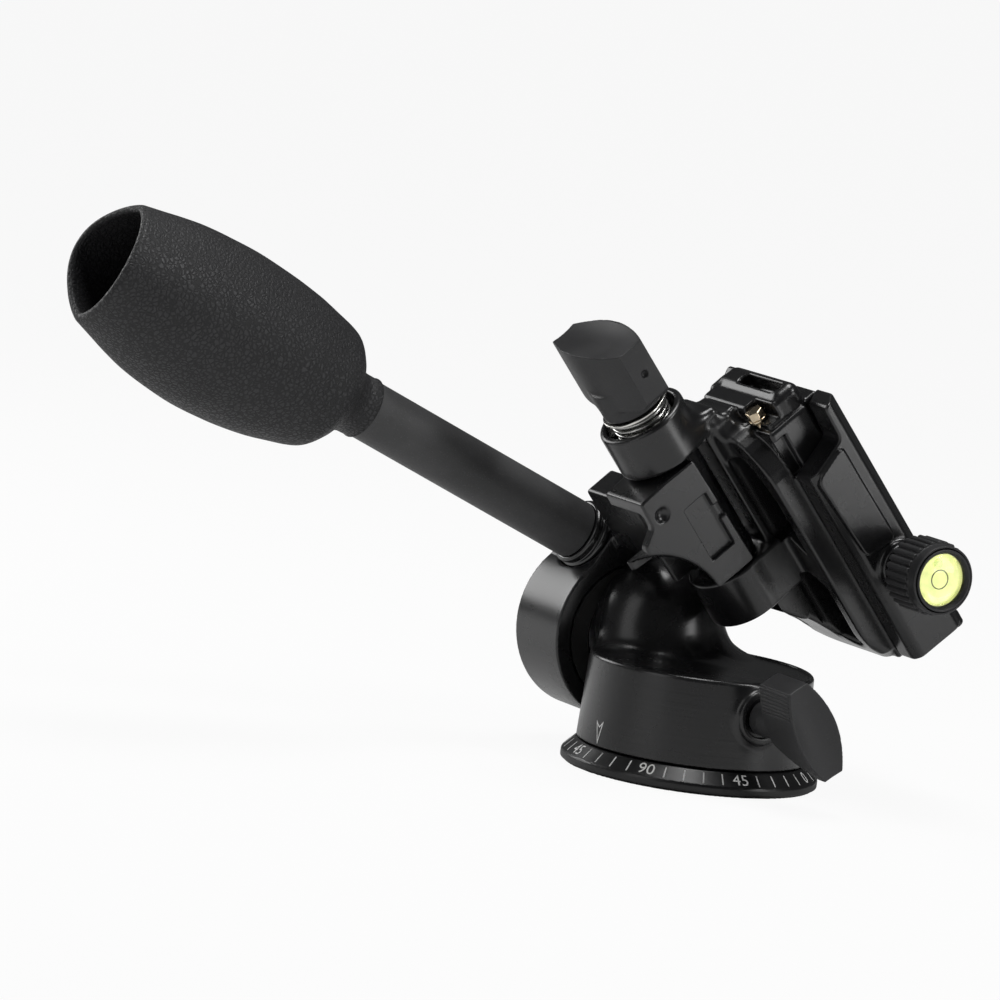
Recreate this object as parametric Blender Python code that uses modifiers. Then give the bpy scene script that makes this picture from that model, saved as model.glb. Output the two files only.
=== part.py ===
"""Fluid video head with a rolling quick-release clamp, modelled piece by piece.

Lengths are in metres and angles in degrees. X points forward, Y to the left
and Z up, and the origin is the centre of the base's underside.
"""
import bpy
import bmesh
from math import cos, pi, radians, sin, sqrt
from mathutils import Vector

# Fits shared by the whole head
CLEARANCE = 0.0003
OVERRUN = 0.002
SOFT_EDGE = 0.0005
ROUND_STEPS = 28
RING_STEPS = 20
SMALL_STEPS = 12
FINE_STEPS = 40
SCREW_COUNT = 3

# Base
BASE_RADIUS = 0.030
BASE_RIM_HEIGHT = 0.0024
BASE_TOP_RADIUS = 0.0267
BASE_HEIGHT = 0.0057
BASE_PAD_RADIUS = 0.0136
BASE_RING_WIDTH = 0.005
BASE_RELIEF_DEPTH = 0.0010
INSERT_RADIUS = 0.007
INSERT_BORE_RADIUS = 0.00476
INSERT_HEIGHT = 0.011
INSERT_SLOT_WIDTH = 0.0016
INSERT_SLOT_DEPTH = 0.0012
HUB_SCREW_CIRCLE = 0.010
HUB_SCREW_TURN = 36.0
HUB_SCREW_RADIUS = 0.00125
HUB_SCREW_HEAD_RADIUS = 0.0022
HUB_SCREW_HEAD_HEIGHT = 0.0018
HUB_SCREW_LENGTH = 0.009

# Pan hub and the rings around it
HUB_NECK_RADIUS = 0.013
HUB_NECK_HEIGHT = 0.0101
HUB_FLANGE_RADIUS = 0.016
HUB_FLANGE_HEIGHT = 0.0059
PAN_WASHER_THICKNESS = 0.0005
RETAINER_RADIUS = 0.0215
RETAINER_HEIGHT = 0.006
RETAINER_SCREW_CIRCLE = 0.0191
RETAINER_SCREW_TURN = 90.0
RETAINER_SCREW_RADIUS = 0.001
RETAINER_SCREW_HEAD_RADIUS = 0.0018
RETAINER_SCREW_HEAD_HEIGHT = 0.0014
RETAINER_SCREW_LENGTH = 0.0095

# Pan housing
HOUSING_RADIUS = 0.0278
HOUSING_TOP_RADIUS = 0.0270
HOUSING_TOP = 0.0270
HOUSING_LIP = 0.0015
HOUSING_FLAT = 0.0235
DOME_X = -0.002
DOME_Y = 0.019
DOME_Z = 0.033
DOME_RADIUS = 0.0158
DOME_DEPTH = 0.0145
FLARE_RADIUS = 0.0075
LOCK_X = 0.0004
LOCK_Z = 0.0192
LOCK_BOSS_RADIUS = 0.0064
LOCK_BOSS_FACE = 0.0286
LOCK_MOUTH_RADIUS = 0.005
LOCK_MOUTH_DEPTH = 0.0009
SHOE_RADIUS = 0.0035
SHOE_LENGTH = 0.004
LOCK_SCREW_RADIUS = 0.0025
LOCK_SCREW_LENGTH = 0.0175

# Wing knob of the pan lock
PAN_WING_LENGTH = 0.0244
PAN_WING_WIDTH = 0.0112
PAN_WING_TIP = 0.0053
PAN_WING_DEPTH = 0.0138
PAN_WING_REACH = 0.0218
PAN_WING_STEM_RADIUS = 0.0043
PAN_WING_TURN = 57.1

# Tilt joint
TILT_X = -0.0055
TILT_Z = 0.0288
TILT_ANGLE = 48.8
AXLE_RADIUS = 0.004
AXLE_THREAD_RADIUS = 0.003
AXLE_START = 0.008
DRUM_RADIUS = 0.0212
DRUM_NEAR = 0.024
DRUM_FAR = 0.0435
DRUM_EDGE = 0.0016
TILT_HUB_RADIUS = 0.012
TILT_HUB_LENGTH = 0.0146
NEAR_WASHER_RADIUS = 0.017
NEAR_WASHER_THICKNESS = 0.0007
FAR_WASHER_RADIUS = 0.0145
FAR_WASHER_THICKNESS = 0.0007
SPRING_WASHER_RADIUS = 0.007
SPRING_WASHER_THICKNESS = 0.0007
TILT_NUT_RADIUS = 0.0055
TILT_NUT_THICKNESS = 0.0024
COVER_RADIUS = 0.0185
COVER_THICKNESS = 0.0025
COVER_SEAT_DEPTH = 0.0014
COVER_SCREW_CIRCLE = 0.0168
COVER_SCREW_TURN = 212.0
COVER_SCREW_RADIUS = 0.001
COVER_SCREW_HEAD_RADIUS = 0.0017
COVER_SCREW_HEAD_HEIGHT = 0.001
COVER_SCREW_LENGTH = 0.006

# Handle, measured outward along its own axis from the point nearest the tilt axis
HANDLE_Y = 0.03375
HANDLE_OFFSET = 0.0163
HANDLE_TURN = -115.97
WEDGE_RADIUS = 0.0045
WEDGE_START = 0.0004
WEDGE_LENGTH = 0.0085
SOCKET_FACE = 0.0175
COLLAR_RADIUS = 0.0086
COLLAR_LENGTH = 0.0067
TUBE_RADIUS = 0.0072
TUBE_WALL = 0.0012
TUBE_LENGTH = 0.087
ROD_RADIUS = 0.003
ROD_HEAD_LENGTH = 0.010
GRIP_LENGTH = 0.0903
GRIP_HEIGHT = 0.0417
GRIP_WALL = 0.002
GRIP_TUBE_DEPTH = 0.0258
GRIP_CAVITY_DEPTH = 0.052
GRIP_TWIST = 7.5

# Roll joint, measured along the clamp from the foot of the tilt axis
ROLL_Y = -0.004
ROLL_HEIGHT = 0.0198
ROLL_AXLE_RADIUS = 0.004
BLOCK_REAR = -0.0468
BLOCK_FRONT = -0.0148
BARREL_RADIUS = 0.0079
BLOCK_NEAR = -0.0108
BLOCK_FAR = 0.0055
BLOCK_DEPTH = 0.0202
BUSH_RADIUS = 0.0055
BUSH_LENGTH = 0.0065
ARM_REAR = -0.038
ARM_FRONT = -0.0205
ARM_LOW = -0.0108
ARM_TOP = -0.0022
ARM_END = 0.0285
REAR_LUG_RADIUS = 0.0108
REAR_LUG_START = -0.059
REAR_LUG_END = -0.0473
FRONT_LUG_RADIUS = 0.0113
FRONT_LUG_START = -0.0143
FRONT_LUG_END = -0.0015
MOUTH_RADIUS = 0.0090
MOUTH_DEPTH = 0.0050
ROLL_WASHER_RADIUS = 0.0083
ROLL_WASHER_THICKNESS = 0.0006
SPRING_RADIUS = 0.0069
SPRING_WIRE_RADIUS = 0.00045
SPRING_PITCH = 0.0014
SPRING_CURLS = 3.5
SPRING_POINTS = 10
ROLL_NUT_RADIUS = 0.0065
ROLL_NUT_THICKNESS = 0.0030

# Wing knob of the roll lock
ROLL_WING_LENGTH = 0.0287
ROLL_WING_WIDTH = 0.0135
ROLL_WING_TIP = 0.0070
ROLL_WING_DEPTH = 0.0166
ROLL_WING_REACH = 0.0199
ROLL_WING_STEM_RADIUS = 0.0077
ROLL_WING_TURN = 2.4

# Clamp bed
BED_REAR = -0.0515
BED_FRONT = 0.0270
BED_SIDE = 0.0190
BED_LOW = 0.0125
BED_LEDGE = 0.0180
BED_SEAT = 0.0300
JAW_TOP = 0.0355
FIXED_JAW_SIDE = 0.0230
FIXED_JAW_THICKNESS = 0.0055
DOVETAIL = 0.0022
TRAY_CORNER_X = -0.0290
TRAY_REAR_X = -0.0440
TRAY_REAR_Y = 0.0060
POCKET_RIM = 0.0036
POCKET_DEPTH = 0.0065
POCKET_ONE_REAR = -0.0385
POCKET_ONE_FRONT = -0.0105
POCKET_TWO_REAR = -0.0045
POCKET_TWO_FRONT = 0.0210
SPINE_HALF_WIDTH = 0.0065
SPINE_LOW = 0.0088
LOOP_REAR = -0.0540
LOOP_FRONT = -0.0470
LOOP_LEFT = -0.0040
LOOP_RIGHT = -0.0180
LOOP_TOP = 0.0325
LOOP_SLOT_HEIGHT = 0.0018
STOP_LOBE_RADIUS = 0.0023
STOP_SCREW_RADIUS = 0.0012
STOP_SCREW_HEAD_RADIUS = 0.0023
STOP_SCREW_HEAD_HEIGHT = 0.0030
STOP_SCREW_LENGTH = 0.0080
STOP_SCREW_Y = -0.0120
STOP_SCREW_Z = 0.0210

# Clamp jaw and its screw
JAW_REAR = -0.0427
JAW_FRONT = 0.0265
JAW_INNER = -0.0194
JAW_OUTER = -0.0270
JAW_LOW = 0.0184
JAW_HEEL_X = -0.0298
JAW_HEEL_Z = 0.0302
PANEL_RAISE = 0.0008
JAW_LIP = 0.0018
JAW_LOBE_RADIUS = 0.00176
PIN_RADIUS = 0.00175
PIN_LENGTH = 0.0230
PIN_REAR_X = -0.0220
PIN_FRONT_X = 0.0200
PIN_Z = 0.0235
CLAMP_X = 0.0030
CLAMP_Z = 0.02675
CLAMP_SCREW_RADIUS = 0.0025
CLAMP_SCREW_LENGTH = 0.0440
CLAMP_BOSS_RADIUS = 0.0060
CLAMP_BOSS_HEIGHT = 0.0016
CLAMP_WASHER_RADIUS = 0.0052
CLAMP_WASHER_THICKNESS = 0.0006
CLAMP_KNOB_RADIUS = 0.0089
CLAMP_KNOB_NECK_RADIUS = 0.0056
CLAMP_KNOB_LENGTH = 0.0148
CLAMP_KNOB_STEP = 0.0026
CLAMP_KNOB_RIBS = 24
RIB_RADIUS = 0.00045
WINDOW_RECESS_RADIUS = 0.0077
WINDOW_RECESS_DEPTH = 0.0050
BEZEL_WIDTH = 0.0009
BEZEL_HEIGHT = 0.0018
CUP_WALL = 0.0006
CUP_HEIGHT = 0.0030
LENS_THICKNESS = 0.0016
BUBBLE_RADIUS = 0.0015
BUBBLE_OFFSET = 0.0030

# Shapes drawn as shares of the sizes they belong to
DRIVE_DEPTH_SHARE = 0.55
DRIVE_RADIUS_SHARE = 0.9
COLLAR_SHARES = (0.0, 0.20, 0.42, 0.50, 0.62, 0.70)
PAN_WING_BACK_SHARES = ((-1.0, 0.0), (0.25, 0.0), (1.0, 0.70))
ROLL_WING_BACK_SHARES = ((-1.0, 0.09), (-0.9, 0.0), (0.9, 0.0), (1.0, 0.09))
WING_STEM_SHARE = 0.20
WING_DISH_SHARES = (1.6, 0.42, 0.10)
SOCKET_SHARES = (
    (-1.000, -0.020),
    (-1.010, 0.060),
    (-1.215, 0.700),
    (-1.180, 0.765),
    (-0.560, 1.010),
    (-0.180, 0.984),
    (0.000, 0.500),
    (-0.500, 0.000),
)
RELIEF_SHARES = ((0.29, -0.35), (0.77, 0.005))
DIMPLE_SHARES = (0.20, -0.62)
PANEL_SHARES = ((-0.08, 0.92), (0.015, 0.06), (0.54, 0.14), (0.76, 0.18), (0.80, 0.95))
KNOB_RIM_SHARE = 1.4
KNOB_SHARES = (0.28, 0.18, 0.12)
KNOB_RIB_SHARE = 0.26
LUG_NECK_SHARE = 0.8
LOOP_SLOT_SHARE = 0.18
LOBE_SHARE = 0.8
CAVITY_END_SHARE = 0.985
FLARE_STEPS = 8
LENS_SHARES = (
    (0.000, 0.400),
    (0.066, 0.460),
    (0.105, 0.560),
    (0.125, 0.700),
    (0.150, 0.780),
    (0.245, 0.851),
    (0.366, 0.947),
    (0.487, 0.995),
    (0.546, 1.000),
    (0.607, 0.990),
    (0.728, 0.938),
    (0.786, 0.894),
    (0.848, 0.839),
    (0.908, 0.765),
    (0.955, 0.690),
    (0.985, 0.625),
    (1.000, 0.560),
)
GRIP_WIDTH_SHARES = ((0.0, 1.0), (0.11, 1.0), (0.25, 0.90), (0.55, 0.84), (1.0, 0.88))
GRIP_POINT_SHARES = ((0.0, 0.50), (0.11, 0.50), (0.30, 0.56), (0.60, 0.66), (1.0, 0.80))
BLOCK_OUTLINE_SHARES = (
    (0.020, 0.08),
    (0.012, -0.38),
    (0.022, -0.78),
    (0.235, -0.79),
    (0.325, -1.00),
    (0.665, -0.99),
    (0.690, -0.61),
    (0.975, -0.60),
    (0.980, 0.12),
)
KEEL_SHARES = (
    (-0.05, 0.80),
    (-0.05, -0.02),
    (0.18, 0.183),
    (0.43, 0.483),
    (0.62, 0.62),
    (0.82, 0.71),
    (0.965, 0.80),
    (1.00, 1.02),
    (-0.05, 1.02),
)


def clear_scene():
    """Remove every object, so that the script can run again."""
    for item in list(bpy.data.objects):
        bpy.data.objects.remove(item, do_unlink=True)


def new_collection(name):
    """Add a collection to the scene."""
    collection = bpy.data.collections.new(name)
    bpy.context.scene.collection.children.link(collection)
    return collection


clear_scene()
PARTS = new_collection("fluid_video_head")
CUTTERS = new_collection("cutters")


def add_material(name, colour, roughness, metallic=0.0):
    """Make a plain Principled material."""
    material = bpy.data.materials.new(name)
    material.use_nodes = True
    shader = material.node_tree.nodes["Principled BSDF"]
    shader.inputs["Base Color"].default_value = (*colour, 1.0)
    shader.inputs["Roughness"].default_value = roughness
    shader.inputs["Metallic"].default_value = metallic
    return material


def black_casting(name):
    """Gloss-black painted metal."""
    return add_material(name + "_paint", (0.012, 0.012, 0.013), 0.30)


def black_plastic(name):
    """Matte dark-grey plastic."""
    return add_material(name + "_plastic", (0.030, 0.030, 0.031), 0.55)


def bright_steel(name):
    """Zinc-plated steel."""
    return add_material(name + "_steel", (0.62, 0.63, 0.65), 0.28, 1.0)


def turned_alloy(name):
    """Turned aluminium alloy."""
    return add_material(name + "_alloy", (0.55, 0.56, 0.58), 0.35, 1.0)


def bearing_plastic(name):
    """Pale bearing plastic."""
    return add_material(name + "_bearing", (0.75, 0.74, 0.70), 0.45)


def empty(name, parent, location, turn=(0.0, 0.0, 0.0)):
    """Add an axis that pieces hang on."""
    axis = bpy.data.objects.new(name, None)
    axis.empty_display_size = BASE_RADIUS
    PARTS.objects.link(axis)
    axis.parent = parent
    axis.location = location
    axis.rotation_euler = [radians(angle) for angle in turn]
    return axis


def add_object(name, mesh, parent, location=(0, 0, 0), turn=(0.0, 0.0, 0.0)):
    """Link a mesh as an object below its axis."""
    item = bpy.data.objects.new(name, mesh)
    PARTS.objects.link(item)
    item.parent = parent
    item.location = location
    item.rotation_euler = [radians(angle) for angle in turn]
    return item


def mesh_from(shape, name):
    """Turn a bmesh into a mesh."""
    mesh = bpy.data.meshes.new(name)
    bmesh.ops.recalc_face_normals(shape, faces=shape.faces)
    shape.to_mesh(mesh)
    shape.free()
    return mesh


def along(axis, low, high, offset):
    """Place and turn for a piece built along its local Z."""
    middle = (low + high) / 2
    first, second = offset
    if axis == "X":
        return (middle, first, second), (0.0, 90.0, 0.0)
    if axis == "Y":
        return (first, middle, second), (-90.0, 0.0, 0.0)
    return (first, second, middle), (0.0, 0.0, 0.0)


def rod(name, parent, radius, low, high, axis="Z", offset=(0, 0), steps=ROUND_STEPS, end_radius=None):
    """Make a cylinder or cone between two stations of an axis."""
    shape = bmesh.new()
    last = radius if end_radius is None else end_radius
    bmesh.ops.create_cone(
        shape,
        cap_ends=True,
        segments=steps,
        radius1=radius,
        radius2=last,
        depth=high - low,
    )
    location, turn = along(axis, low, high, offset)
    return add_object(name, mesh_from(shape, name), parent, location, turn)


def box(name, parent, low, high):
    """Make a box between two corners."""
    shape = bmesh.new()
    bmesh.ops.create_cube(shape, size=1.0)
    size = [b - a for a, b in zip(low, high)]
    middle = [(a + b) / 2 for a, b in zip(low, high)]
    bmesh.ops.scale(shape, vec=size, verts=shape.verts)
    return add_object(name, mesh_from(shape, name), parent, middle)


def ball(name, parent, radii, location, steps=ROUND_STEPS):
    """Make an ellipsoid."""
    shape = bmesh.new()
    bmesh.ops.create_uvsphere(shape, u_segments=steps, v_segments=steps // 2, radius=1.0)
    bmesh.ops.scale(shape, vec=radii, verts=shape.verts)
    return add_object(name, mesh_from(shape, name), parent, location)


def plate(name, parent, outline, low, high, plane="XY"):
    """Make a flat outline with thickness between two stations."""
    curve = bpy.data.curves.new(name, "CURVE")
    curve.dimensions = "2D"
    curve.fill_mode = "BOTH"
    curve.extrude = (high - low) / 2
    curve.render_resolution_u = 0
    spline = curve.splines.new("POLY")
    spline.points.add(len(outline) - 1)
    for point, (first, second) in zip(spline.points, outline):
        point.co = (first, second, 0.0, 1.0)
    spline.use_cyclic_u = True
    middle = (low + high) / 2
    places = {
        "XY": ((0, 0, middle), (0.0, 0.0, 0.0)),
        "XZ": ((0, middle, 0), (90.0, 0.0, 0.0)),
        "YZ": ((middle, 0, 0), (90.0, 0.0, 90.0)),
    }
    location, turn = places[plane]
    drawn = bpy.data.objects.new(name + "_outline", curve)
    PARTS.objects.link(drawn)
    mesh = bpy.data.meshes.new_from_object(drawn)
    bpy.data.objects.remove(drawn, do_unlink=True)
    shape = bmesh.new()
    shape.from_mesh(mesh)
    bmesh.ops.remove_doubles(shape, verts=shape.verts, dist=SOFT_EDGE / 50)
    bmesh.ops.dissolve_limit(shape, angle_limit=radians(1.0), verts=shape.verts, edges=shape.edges)
    shape.to_mesh(mesh)
    shape.free()
    return add_object(name, mesh, parent, location, turn)


def turned(name, parent, profile, location=(0, 0, 0), turn=(0.0, 0.0, 0.0), steps=ROUND_STEPS, closed=True):
    """Turn a profile of (radius, height) points about the local Z axis."""
    mesh = bpy.data.meshes.new(name)
    points = [(radius, 0.0, height) for radius, height in profile]
    edges = [(i, i + 1) for i in range(len(points) - 1)]
    if closed:
        edges.append((len(points) - 1, 0))
    mesh.from_pydata(points, edges, [])
    item = add_object(name, mesh, parent, location, turn)
    screw = item.modifiers.new("turn", "SCREW")
    screw.steps = steps
    screw.render_steps = steps
    screw.use_merge_vertices = True
    screw.merge_threshold = SOFT_EDGE / 50
    return item


def ring(name, parent, inner, outer, low, high, axis="Z", offset=(0, 0), steps=RING_STEPS):
    """Make a flat ring between two stations of an axis."""
    half = (high - low) / 2
    profile = [(outer, half), (outer, -half), (inner, -half), (inner, half)]
    location, turn = along(axis, low, high, offset)
    return turned(name, parent, profile, location, turn, steps)


def loft(name, parent, rings, location=(0, 0, 0), turn=(0.0, 0.0, 0.0)):
    """Skin a row of closed rings and cap both ends."""
    shape = bmesh.new()
    rows = [[shape.verts.new(point) for point in points] for points in rings]
    count = len(rows[0])
    for low, high in zip(rows, rows[1:]):
        for i in range(count):
            j = (i + 1) % count
            shape.faces.new((low[i], low[j], high[j], high[i]))
    shape.faces.new(list(reversed(rows[0])))
    shape.faces.new(rows[-1])
    return add_object(name, mesh_from(shape, name), parent, location, turn)


def soften(item, width=SOFT_EDGE, segments=1, angle=40.0):
    """Round the sharp edges of a piece."""
    bevel = item.modifiers.new("soft_edges", "BEVEL")
    bevel.width = width
    bevel.segments = segments
    bevel.limit_method = "ANGLE"
    bevel.angle_limit = radians(angle)
    bevel.use_clamp_overlap = True
    return item


def combine(target, other, operation):
    """Join, cut or intersect a piece with another body."""
    for collection in list(other.users_collection):
        collection.objects.unlink(other)
    CUTTERS.objects.link(other)
    other.hide_render = True
    other.display_type = "WIRE"
    step = target.modifiers.new(operation.lower() + "_" + other.name, "BOOLEAN")
    step.operation = operation
    step.solver = "EXACT"
    step.object = other
    return target


def join(target, *others):
    """Fuse bodies into a piece."""
    for other in others:
        combine(target, other, "UNION")
    return target


def cut(target, *others):
    """Take bodies out of a piece."""
    for other in others:
        combine(target, other, "DIFFERENCE")
    return target


def common(target, other):
    """Keep only what a piece shares with a body."""
    return combine(target, other, "INTERSECT")


def finish(item, material, angle=35.0):
    """Give a piece its material and its smooth shading."""
    item.data.materials.append(material)
    for face in item.data.polygons:
        face.use_smooth = True
    item.data.set_sharp_from_angle(angle=radians(angle))
    return item


def hexagon(radius):
    """Outline of a hexagon across its corners."""
    return [(radius * cos(i * pi / 3), radius * sin(i * pi / 3)) for i in range(6)]


def cap_screw(
    name,
    parent,
    place,
    radius,
    head_radius,
    head_height,
    length,
    axis,
    head_at,
    inward,
    drive_radius,
):
    """Make a cap screw with a hexagonal drive."""
    inner = head_at + inward * head_height
    tip = inner + inward * length
    head = rod(
        name,
        parent,
        head_radius,
        min(head_at, inner),
        max(head_at, inner),
        axis,
        place,
        SMALL_STEPS,
    )
    overlap = inner - inward * head_height / 2
    shank = rod(
        name + "_shank",
        parent,
        radius,
        min(overlap, tip),
        max(overlap, tip),
        axis,
        place,
        SMALL_STEPS,
    )
    drive = head_at + inward * head_height * DRIVE_DEPTH_SHARE
    start = head_at - inward * OVERRUN
    socket = rod(
        name + "_drive",
        parent,
        drive_radius,
        min(start, drive),
        max(start, drive),
        axis,
        place,
        6,
    )
    return cut(join(head, shank), socket)


def screw_set(name, places, *sizes):
    """Make equal screws, each a piece of its own."""
    for index, place in enumerate(places):
        label = name + "_" + str(index + 1)
        item = cap_screw(label, sizes[0], place, *sizes[1:])
        finish(item, bright_steel(label))


def circle_places(radius, count, first, centre=(0, 0)):
    """Equal places on a circle."""
    turns = [radians(first) + i * 2 * pi / count for i in range(count)]
    return [(centre[0] + radius * cos(turn), centre[1] + radius * sin(turn)) for turn in turns]


# Stations of the pan joint, stacked from the base upward
HOUSING_LOW = BASE_HEIGHT + CLEARANCE
HUB_LOW = BASE_HEIGHT + CLEARANCE
FLANGE_LOW = HUB_LOW + HUB_NECK_HEIGHT
FLANGE_TOP = FLANGE_LOW + HUB_FLANGE_HEIGHT
LOWER_WASHER_TOP = FLANGE_LOW - CLEARANCE
LOWER_WASHER_LOW = LOWER_WASHER_TOP - PAN_WASHER_THICKNESS
RETAINER_TOP = LOWER_WASHER_LOW - CLEARANCE
RETAINER_LOW = RETAINER_TOP - RETAINER_HEIGHT
UPPER_WASHER_LOW = FLANGE_TOP + CLEARANCE
UPPER_WASHER_TOP = UPPER_WASHER_LOW + PAN_WASHER_THICKNESS
CAVITY_TOP = UPPER_WASHER_TOP + CLEARANCE
CAVITY_STEP = RETAINER_TOP + CLEARANCE

# Stations of the tilt joint, stacked from the dome outward
TILT_HUB_NEAR = DRUM_NEAR + CLEARANCE
TILT_HUB_FAR = TILT_HUB_NEAR + TILT_HUB_LENGTH
FAR_WASHER_NEAR = TILT_HUB_FAR + CLEARANCE
FAR_WASHER_FAR = FAR_WASHER_NEAR + FAR_WASHER_THICKNESS
SPRING_WASHER_NEAR = FAR_WASHER_FAR + CLEARANCE
SPRING_WASHER_FAR = SPRING_WASHER_NEAR + SPRING_WASHER_THICKNESS
TILT_NUT_NEAR = SPRING_WASHER_FAR + CLEARANCE
TILT_NUT_FAR = TILT_NUT_NEAR + TILT_NUT_THICKNESS
COVER_NEAR = DRUM_FAR - COVER_SEAT_DEPTH + CLEARANCE
COVER_FAR = COVER_NEAR + COVER_THICKNESS

# Stations of the handle, from the socket outward
COLLAR_START = SOCKET_FACE + CLEARANCE
COLLAR_END = COLLAR_START + COLLAR_LENGTH
TUBE_START = COLLAR_END + CLEARANCE
TUBE_END = TUBE_START + TUBE_LENGTH
GRIP_START = TUBE_END - GRIP_TUBE_DEPTH

# Stations of the roll joint, rear to front
MOUTH_FLOOR = REAR_LUG_START + MOUTH_DEPTH
INNER_WASHER_FRONT = MOUTH_FLOOR - CLEARANCE
INNER_WASHER_REAR = INNER_WASHER_FRONT - ROLL_WASHER_THICKNESS
SPRING_FRONT = INNER_WASHER_REAR - CLEARANCE - SPRING_WIRE_RADIUS
SPRING_REAR = SPRING_FRONT - SPRING_PITCH * SPRING_CURLS
OUTER_WASHER_FRONT = SPRING_REAR - CLEARANCE - SPRING_WIRE_RADIUS
OUTER_WASHER_REAR = OUTER_WASHER_FRONT - ROLL_WASHER_THICKNESS
ROLL_STEM_FRONT = OUTER_WASHER_REAR - CLEARANCE

# Stations of the clamp screw, from the jaw outward
BOSS_FACE = JAW_OUTER - PANEL_RAISE - CLAMP_BOSS_HEIGHT
CLAMP_WASHER_IN = BOSS_FACE - CLEARANCE
CLAMP_WASHER_OUT = CLAMP_WASHER_IN - CLAMP_WASHER_THICKNESS
KNOB_BACK = CLAMP_WASHER_OUT - CLEARANCE
KNOB_FACE = KNOB_BACK - CLAMP_KNOB_LENGTH
RECESS_FLOOR = KNOB_FACE + WINDOW_RECESS_DEPTH
CUP_RADIUS = WINDOW_RECESS_RADIUS - CLEARANCE
CUP_BACK = RECESS_FLOOR - CLEARANCE
CUP_BORE = CUP_RADIUS - CUP_WALL

# Axes that the moving pieces hang on
PAN_AXIS = empty("pan_axis", None, (0, 0, 0))
PAN_LOCK_AXIS = empty(
    "pan_lock_axis",
    PAN_AXIS,
    (LOCK_X, -LOCK_BOSS_FACE, LOCK_Z),
    (90.0, PAN_WING_TURN, 0.0),
)
TILT_AXIS = empty("tilt_axis", PAN_AXIS, (TILT_X, 0, TILT_Z), (0.0, TILT_ANGLE, 0.0))
HANDLE_RISE = radians(HANDLE_TURN + 90.0)
HANDLE_AXIS = empty(
    "handle_axis",
    TILT_AXIS,
    (HANDLE_OFFSET * sin(HANDLE_RISE), HANDLE_Y, HANDLE_OFFSET * cos(HANDLE_RISE)),
    (0.0, HANDLE_TURN, 0.0),
)
ROLL_AXIS = empty("roll_axis", TILT_AXIS, (0, ROLL_Y, ROLL_HEIGHT))
ROLL_LOCK_AXIS = empty("roll_lock_axis", ROLL_AXIS, (ROLL_STEM_FRONT, 0, 0), (-90.0, ROLL_WING_TURN, 90.0))
CLAMP_AXIS = empty("clamp_axis", ROLL_AXIS, (CLAMP_X, 0, CLAMP_Z), (90.0, 0.0, 0.0))


def make_base_plate():
    """Round base with the bevel that carries the pan scale."""
    relief = BASE_RADIUS - BASE_RING_WIDTH
    hole = INSERT_RADIUS + CLEARANCE
    profile = [
        (hole, BASE_HEIGHT),
        (BASE_TOP_RADIUS, BASE_HEIGHT),
        (BASE_RADIUS, BASE_RIM_HEIGHT),
        (BASE_RADIUS, SOFT_EDGE),
        (BASE_RADIUS - SOFT_EDGE, 0),
        (relief, 0),
        (relief, BASE_RELIEF_DEPTH),
        (BASE_PAD_RADIUS, BASE_RELIEF_DEPTH),
        (BASE_PAD_RADIUS, 0),
        (hole, 0),
    ]
    item = turned("base_plate", PAN_AXIS, profile, steps=FINE_STEPS)
    head_depth = HUB_SCREW_HEAD_HEIGHT + 2 * CLEARANCE
    for place in circle_places(HUB_SCREW_CIRCLE, SCREW_COUNT, HUB_SCREW_TURN):
        hole_radius = HUB_SCREW_RADIUS + CLEARANCE
        sink_radius = HUB_SCREW_HEAD_RADIUS + CLEARANCE
        hole = rod(
            "base_screw_hole",
            None,
            hole_radius,
            -OVERRUN,
            BASE_HEIGHT + OVERRUN,
            "Z",
            place,
            SMALL_STEPS,
        )
        sink = rod("base_screw_sink", None, sink_radius, -OVERRUN, head_depth, "Z", place, SMALL_STEPS)
        cut(item, hole, sink)
    return finish(item, black_casting("base_plate"))


def make_thread_insert():
    """Steel insert that takes the tripod stud."""
    profile = [
        (INSERT_RADIUS, INSERT_HEIGHT),
        (INSERT_RADIUS, SOFT_EDGE),
        (INSERT_RADIUS - SOFT_EDGE, 0),
        (INSERT_BORE_RADIUS + SOFT_EDGE, 0),
        (INSERT_BORE_RADIUS, SOFT_EDGE),
        (INSERT_BORE_RADIUS, INSERT_HEIGHT),
    ]
    item = turned("thread_insert", PAN_AXIS, profile)
    half = INSERT_SLOT_WIDTH / 2
    reach = INSERT_RADIUS + OVERRUN
    cut(item, box("insert_slot", None, (-half, -reach, -OVERRUN), (half, reach, INSERT_SLOT_DEPTH)))
    return finish(item, bright_steel("thread_insert"))


def make_pan_hub():
    """Hub that the housing turns on."""
    bore = INSERT_RADIUS + CLEARANCE
    insert_top = INSERT_HEIGHT + CLEARANCE
    profile = [
        (INSERT_BORE_RADIUS, FLANGE_TOP),
        (HUB_FLANGE_RADIUS, FLANGE_TOP),
        (HUB_FLANGE_RADIUS, FLANGE_LOW),
        (HUB_NECK_RADIUS, FLANGE_LOW),
        (HUB_NECK_RADIUS, HUB_LOW),
        (bore, HUB_LOW),
        (bore, insert_top),
        (INSERT_BORE_RADIUS, insert_top),
    ]
    item = turned("pan_hub", PAN_AXIS, profile)
    depth = HUB_SCREW_HEAD_HEIGHT + HUB_SCREW_LENGTH + 3 * CLEARANCE
    for place in circle_places(HUB_SCREW_CIRCLE, SCREW_COUNT, HUB_SCREW_TURN):
        cut(
            item,
            rod(
                "hub_screw_hole",
                None,
                HUB_SCREW_RADIUS + CLEARANCE,
                -OVERRUN,
                depth,
                "Z",
                place,
                SMALL_STEPS,
            ),
        )
    return finish(item, turned_alloy("pan_hub"))


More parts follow.
